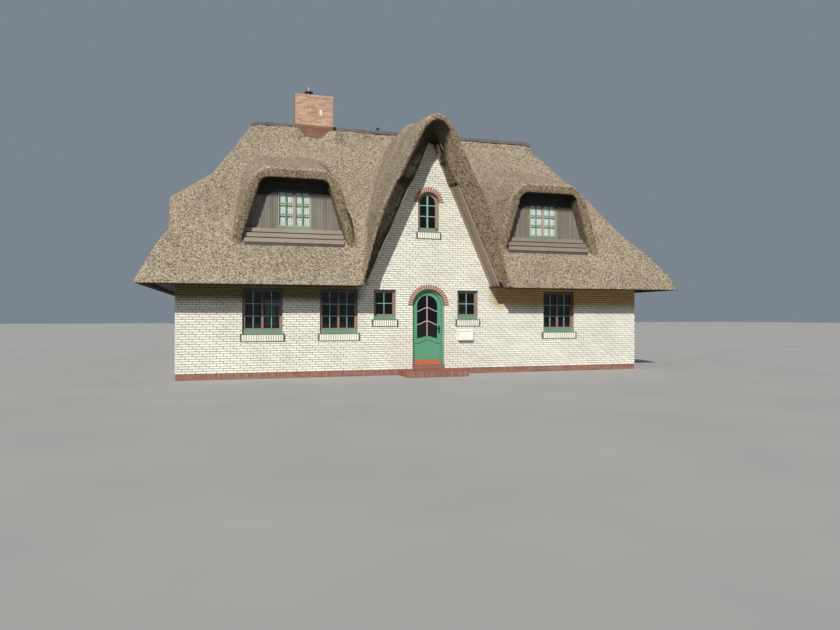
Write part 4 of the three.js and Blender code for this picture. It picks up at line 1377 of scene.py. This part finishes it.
front_pair = ["dormer_window_front_left", "dormer_window_front_right"]
piece("dormer_frames", green, dormer_green, stands_for=front_pair)
piece("dormer_leaves", brown, leaf_paint)
piece("dormer_bars", bars, dormer_green)


# Curtains: unlined white cotton, two behind each front dormer window, gathered on one rod.
# The rod is painted steel and is held by a bracket at each end, fixed to the dormer's face.
CURTAIN_TOP = 4.965
CURTAIN_FOOT = 3.975
CURTAIN_WIDE = 0.455
FOLDS = 9
FOLD_DEEP = 0.009
ROD_R = 0.007
ROD_LONG = 1.02
BRACKET_X = 0.505
BRACKET_HALF = 0.006
cotton = mottled_material(
    "cotton", (0.70, 0.72, 0.68), (0.80, 0.82, 0.78), 60.0, 2.0, Roughness=0.9
)


def curtain(name, left, hung_y):
    """A sheet gathered in even folds; its flat width is the length along its folds."""
    steps = FOLDS * 8
    mesh = bmesh.new()
    bmesh.ops.create_grid(mesh, x_segments=steps, y_segments=10, size=0.5)
    for vert in mesh.verts:
        across = vert.co.x + 0.5
        up = vert.co.y + 0.5
        swing = FOLD_DEEP * math.sin(2 * math.pi * FOLDS * across)
        z = CURTAIN_FOOT + (CURTAIN_TOP - CURTAIN_FOOT) * up
        vert.co = (left + CURTAIN_WIDE * across, hung_y + swing, z)
    made = piece(name, mesh, cotton, smooth=True)


hung = -FRONT_FACE + 0.105
bracket_near, bracket_far = -FRONT_FACE + 0.059, hung + 0.006
bracket_low, bracket_high = CURTAIN_TOP - 0.004, CURTAIN_TOP + 0.012
for label, x in (("left", -DORMER_X), ("right", DORMER_X)):
    rod = bmesh.new()
    middle = Matrix.Translation((x, hung, CURTAIN_TOP + 0.004))
    bmesh.ops.create_cone(
        rod,
        cap_ends=True,
        segments=12,
        radius1=ROD_R,
        radius2=ROD_R,
        depth=ROD_LONG,
        matrix=middle @ Matrix.Rotation(math.pi / 2, 4, "Y"),
    )
    for side in (-1, 1):
        ends = (x + side * BRACKET_X - BRACKET_HALF, x + side * BRACKET_X + BRACKET_HALF)
        box(rod, *ends, bracket_near, bracket_far, bracket_low, bracket_high)
    made = piece("curtain_rod_" + label, rod, white_metal)
    curtain("curtain_" + label + "_a", x - 0.462, hung)
    curtain("curtain_" + label + "_b", x + 0.007, hung)


# Overhang of the gable and the eaves: planks that line the underside, stained brown; the eaves
# soffit is near black as painted shade.
# Three planks side by side run up each side, each a step further out than the one before.
# each plank's near and far edge in front of the wall, and how far it is set in
GABLE_PLANKS = ((0.010, 0.130, 0.040), (0.142, 0.372, 0.027), (0.386, 0.560, 0.014))
PLANK_THICK = 0.030
PLANK_END_Z = 2.465
overhang = new_bricks()
(foot_z, foot_x), (top_z, top_x) = HOOD_UNDER[:2]
slope = math.atan2(foot_x - top_x, top_z - foot_z)
for side in (-1, 1):
    for out, far_out, inset in GABLE_PLANKS:
        plank = new_bricks()
        near, far = FRONT - far_out, FRONT - out
        box(plank, -inset, -inset + PLANK_THICK, near, far, -0.5, 5.2, 0.003)
        lean = Matrix.Translation((foot_x, 0, foot_z)) @ Matrix.Rotation(-slope, 4, "Y")
        bmesh.ops.transform(plank, matrix=lean, verts=plank.verts[:])
        for point, way in (((0, 0, 0), (-1, 0, 0)), ((0, 0, PLANK_END_Z), (0, 0, -1))):
            bmesh.ops.holes_fill(plank, edges=sliced(plank, point, way))
        if side < 0:
            for vert in plank.verts:
                vert.co.x *= -1
            bmesh.ops.reverse_faces(plank, faces=plank.faces[:])
        joined(overhang, plank)
overhang_planks = toned_wood(
    "overhang_planks", (0.47, 0.36, 0.275), (0.29, 0.215, 0.165), ALONG_Z
)
piece("overhang_planks", overhang, overhang_planks, stands_for=["gable_boards"])
# The eaves soffit is near black: painted shade under the eaves.
shaded_soffit_boards = wood_material("shaded_soffit_boards", (0.045, 0.035, 0.028), (0.02, 0.016, 0.013), ALONG_X)
dress(shaded_soffit_boards, "eaves_soffit")


# Chimney: pale salmon bricks laid in running bond, under one projecting course as a crown.
# Its foot flares out over the reed and is dark with soot and moss.
STACK_LEFT, STACK_RIGHT = -3.345, -2.135
STACK_NEAR, STACK_FAR = -0.400, 0.200
STACK_FOOT, SKIRT_TOP, STACK_TOP, CROWN_TOP = 7.300, 7.830, 8.720, 8.790
STACK_COURSES = 22
STACK_PITCH = 0.242
CROWN_OUT = 0.008
SPLASH = (-2.53, 8.24, 0.05, 0.11)
OLIVE_PATCH = (-2.74, 8.27, 0.10, 0.20)
salmon_brick = brick_material(
    "salmon_brick", (0.63, 0.41, 0.30), (0.32, 0.155, 0.105), (0.30, 0.23, 0.14), 0.9
)
salmon_mortar = mortar_material("salmon_mortar", (0.60, 0.50, 0.39), (0.42, 0.34, 0.26))


def spot(x, z, wide, high):
    """A ragged patch on the front of the stack."""

    def mask(tree, coords, place):
        across = maths(tree, "DIVIDE", maths(tree, "SUBTRACT", place["X"], x), wide)
        up = maths(tree, "DIVIDE", maths(tree, "SUBTRACT", place["Z"], z), high)
        reach = maths(tree, "ADD", maths(tree, "POWER", across, 2.0), maths(tree, "POWER", up, 2.0))
        ragged = maths(tree, "MULTIPLY", noise(tree, coords, 22.0, 4.0), 1.2)
        inside = maths(tree, "SUBTRACT", 2.0, maths(tree, "ADD", reach, ragged), clamp=True)
        return both(tree, inside, maths(tree, "LESS_THAN", place["Y"], STACK_NEAR + 0.02))

    return mask


def at_foot(tree, coords, place):
    depth = maths(tree, "MULTIPLY", place["Z"], -1.0)
    return rising(tree, depth, -SKIRT_TOP - 0.02, -SKIRT_TOP + 0.06)


tinted_dirt_and_shade(salmon_brick, spot(*OLIVE_PATCH), (0.80, 0.84, 0.60))
tinted_dirt_and_shade(salmon_brick, spot(*SPLASH), (1.75, 2.3, 2.7))
tinted_dirt_and_shade(salmon_mortar, spot(*SPLASH), (1.5, 1.7, 2.0))
tinted_dirt_and_shade(salmon_mortar, at_foot, (0.36, 0.28, 0.25))
sooty_brick = brick_material(
    "sooty_brick", (0.34, 0.155, 0.10), (0.15, 0.075, 0.055), (0.10, 0.085, 0.055), 0.9
)
dress(salmon_mortar, "chimney")


def stack_side(mesh, foot, left, right, face, flare):
    """The courses of one side: the flared ones on their own mesh."""
    high_course = (STACK_TOP - STACK_FOOT) / STACK_COURSES
    for n in range(STACK_COURSES):
        low = STACK_FOOT + n * high_course + 0.004
        high = low + high_course - 0.009
        out = flare * max(0.0, (SKIRT_TOP - low) / (SKIRT_TOP - STACK_FOOT))
        target = mesh if low > SKIRT_TOP - 0.03 else foot
        shift = -(STACK_PITCH / 2) * (n % 2)
        ends = (left - out, right + out)
        course(target, *ends, low, high, face - out, shift, proud=0.004, pitch=STACK_PITCH)
    low, high = STACK_TOP + 0.004, CROWN_TOP - 0.006
    ends = (left - CROWN_OUT, right + CROWN_OUT)
    course(mesh, *ends, low, high, face - CROWN_OUT, proud=0.003, pitch=STACK_PITCH)


stack = new_bricks()
skirt = new_bricks()
sides = (
    (0, STACK_LEFT, STACK_RIGHT, STACK_NEAR, 0.031),
    (2, -STACK_RIGHT, -STACK_LEFT, -STACK_FAR, 0.015),
    (-1, -STACK_FAR, -STACK_NEAR, STACK_LEFT, 0.031),
    (1, STACK_NEAR, STACK_FAR, -STACK_RIGHT, 0.031),
)
for quarter, left, right, face, flare in sides:
    part, foot = new_bricks(), new_bricks()
    stack_side(part, foot, left, right, face, flare)
    joined(stack, turned(part, quarter))
    joined(skirt, turned(foot, quarter))
piece("chimney_bricks", stack, salmon_brick)
piece("chimney_foot_bricks", skirt, sooty_brick)


# Cowl and vent: spun sheet metal, blackened, the cowl set in the chimney's crown with mortar.
# The cowl's finial is white, and so is the vent's flange, which is let into the sods.
def split_metal(name, split, white_below):
    """Black sheet metal, white below or above a height."""
    material, tree, shader, coords = new_material(name, Roughness=0.45, Metallic=0.0)
    height = add(tree, "SeparateXYZ", Vector=coords).outputs["Z"]
    above = maths(tree, "GREATER_THAN", height, split)
    worn = noise(tree, coords, 25.0)
    black = ramp(tree, worn, (0.3, grey(0.018)), (0.7, grey(0.05)))
    white = ramp(tree, worn, (0.3, grey(0.72)), (0.7, grey(0.82)))
    first, second = (white, black) if white_below else (black, white)
    tree.links.new(blend(tree, above, first, second), shader.inputs["Base Color"])
    return material


FINIAL_FOOT = 9.008
FLANGE_TOP = 7.905
dress(split_metal("cowl_metal", FINIAL_FOOT, False), "chimney_cowl")
dress(split_metal("vent_metal", FLANGE_TOP, True), "ridge_vent")


# Studio: a plain pale floor, which is no part of the house.
# A soft sun lights it from the left front, under an even pale blue sky.
floor = bpy.data.meshes.new("floor")
ground = bmesh.new()
bmesh.ops.create_grid(ground, x_segments=1, y_segments=1, size=150.0)
ground.to_mesh(floor)
ground.free()
floor_object = bpy.data.objects.new("floor", floor)
bpy.context.scene.collection.objects.link(floor_object)
pale = mottled_material(
    "pale_floor", (0.375, 0.37, 0.36), (0.41, 0.405, 0.39), 0.4, 2.0, Roughness=0.9
)
floor.materials.append(pale)

SUN_AZIMUTH = math.radians(27)
SUN_HEIGHT = math.radians(34.5)
SUN_STRENGTH = 4.05
SUN_COLOUR = (1.0, 0.96, 0.9)
SKY_STRENGTH = 0.28
SKY_COLOUR = (0.70, 0.84, 1.0, 1)
sun = bpy.data.lights.new("key", "SUN")
sun.energy = SUN_STRENGTH
sun.angle = math.radians(1.5)
sun.color = SUN_COLOUR
key = bpy.data.objects.new("key", sun)
key.rotation_euler = (math.pi / 2 - SUN_HEIGHT, 0, -SUN_AZIMUTH)
bpy.context.scene.collection.objects.link(key)

sky = bpy.data.worlds.new("sky")
sky.use_nodes = True
background = sky.node_tree.nodes["Background"].inputs
background["Color"].default_value = SKY_COLOUR
background["Strength"].default_value = SKY_STRENGTH
bpy.context.scene.world = sky


# Camera: at a standing eye's height, 17 m in front of the house and left of its door.
# It looks a little to the right, with a slightly wide lens and no shift.
EYE = (-5.114, -20.975, 1.60)
YAW = math.radians(16.1)
TILT = math.radians(0.18)
LENS_MM = 27.04
SENSOR_MM = 36.0
lens = bpy.data.cameras.new("camera")
lens.lens = LENS_MM
lens.sensor_width = SENSOR_MM
lens.clip_end = 500.0
camera = bpy.data.objects.new("camera", lens)
camera.location = EYE
camera.rotation_euler = (math.pi / 2 + TILT, 0, -YAW)
bpy.context.scene.collection.objects.link(camera)
bpy.context.scene.camera = camera
bpy.context.scene.view_settings.view_transform = "Standard"
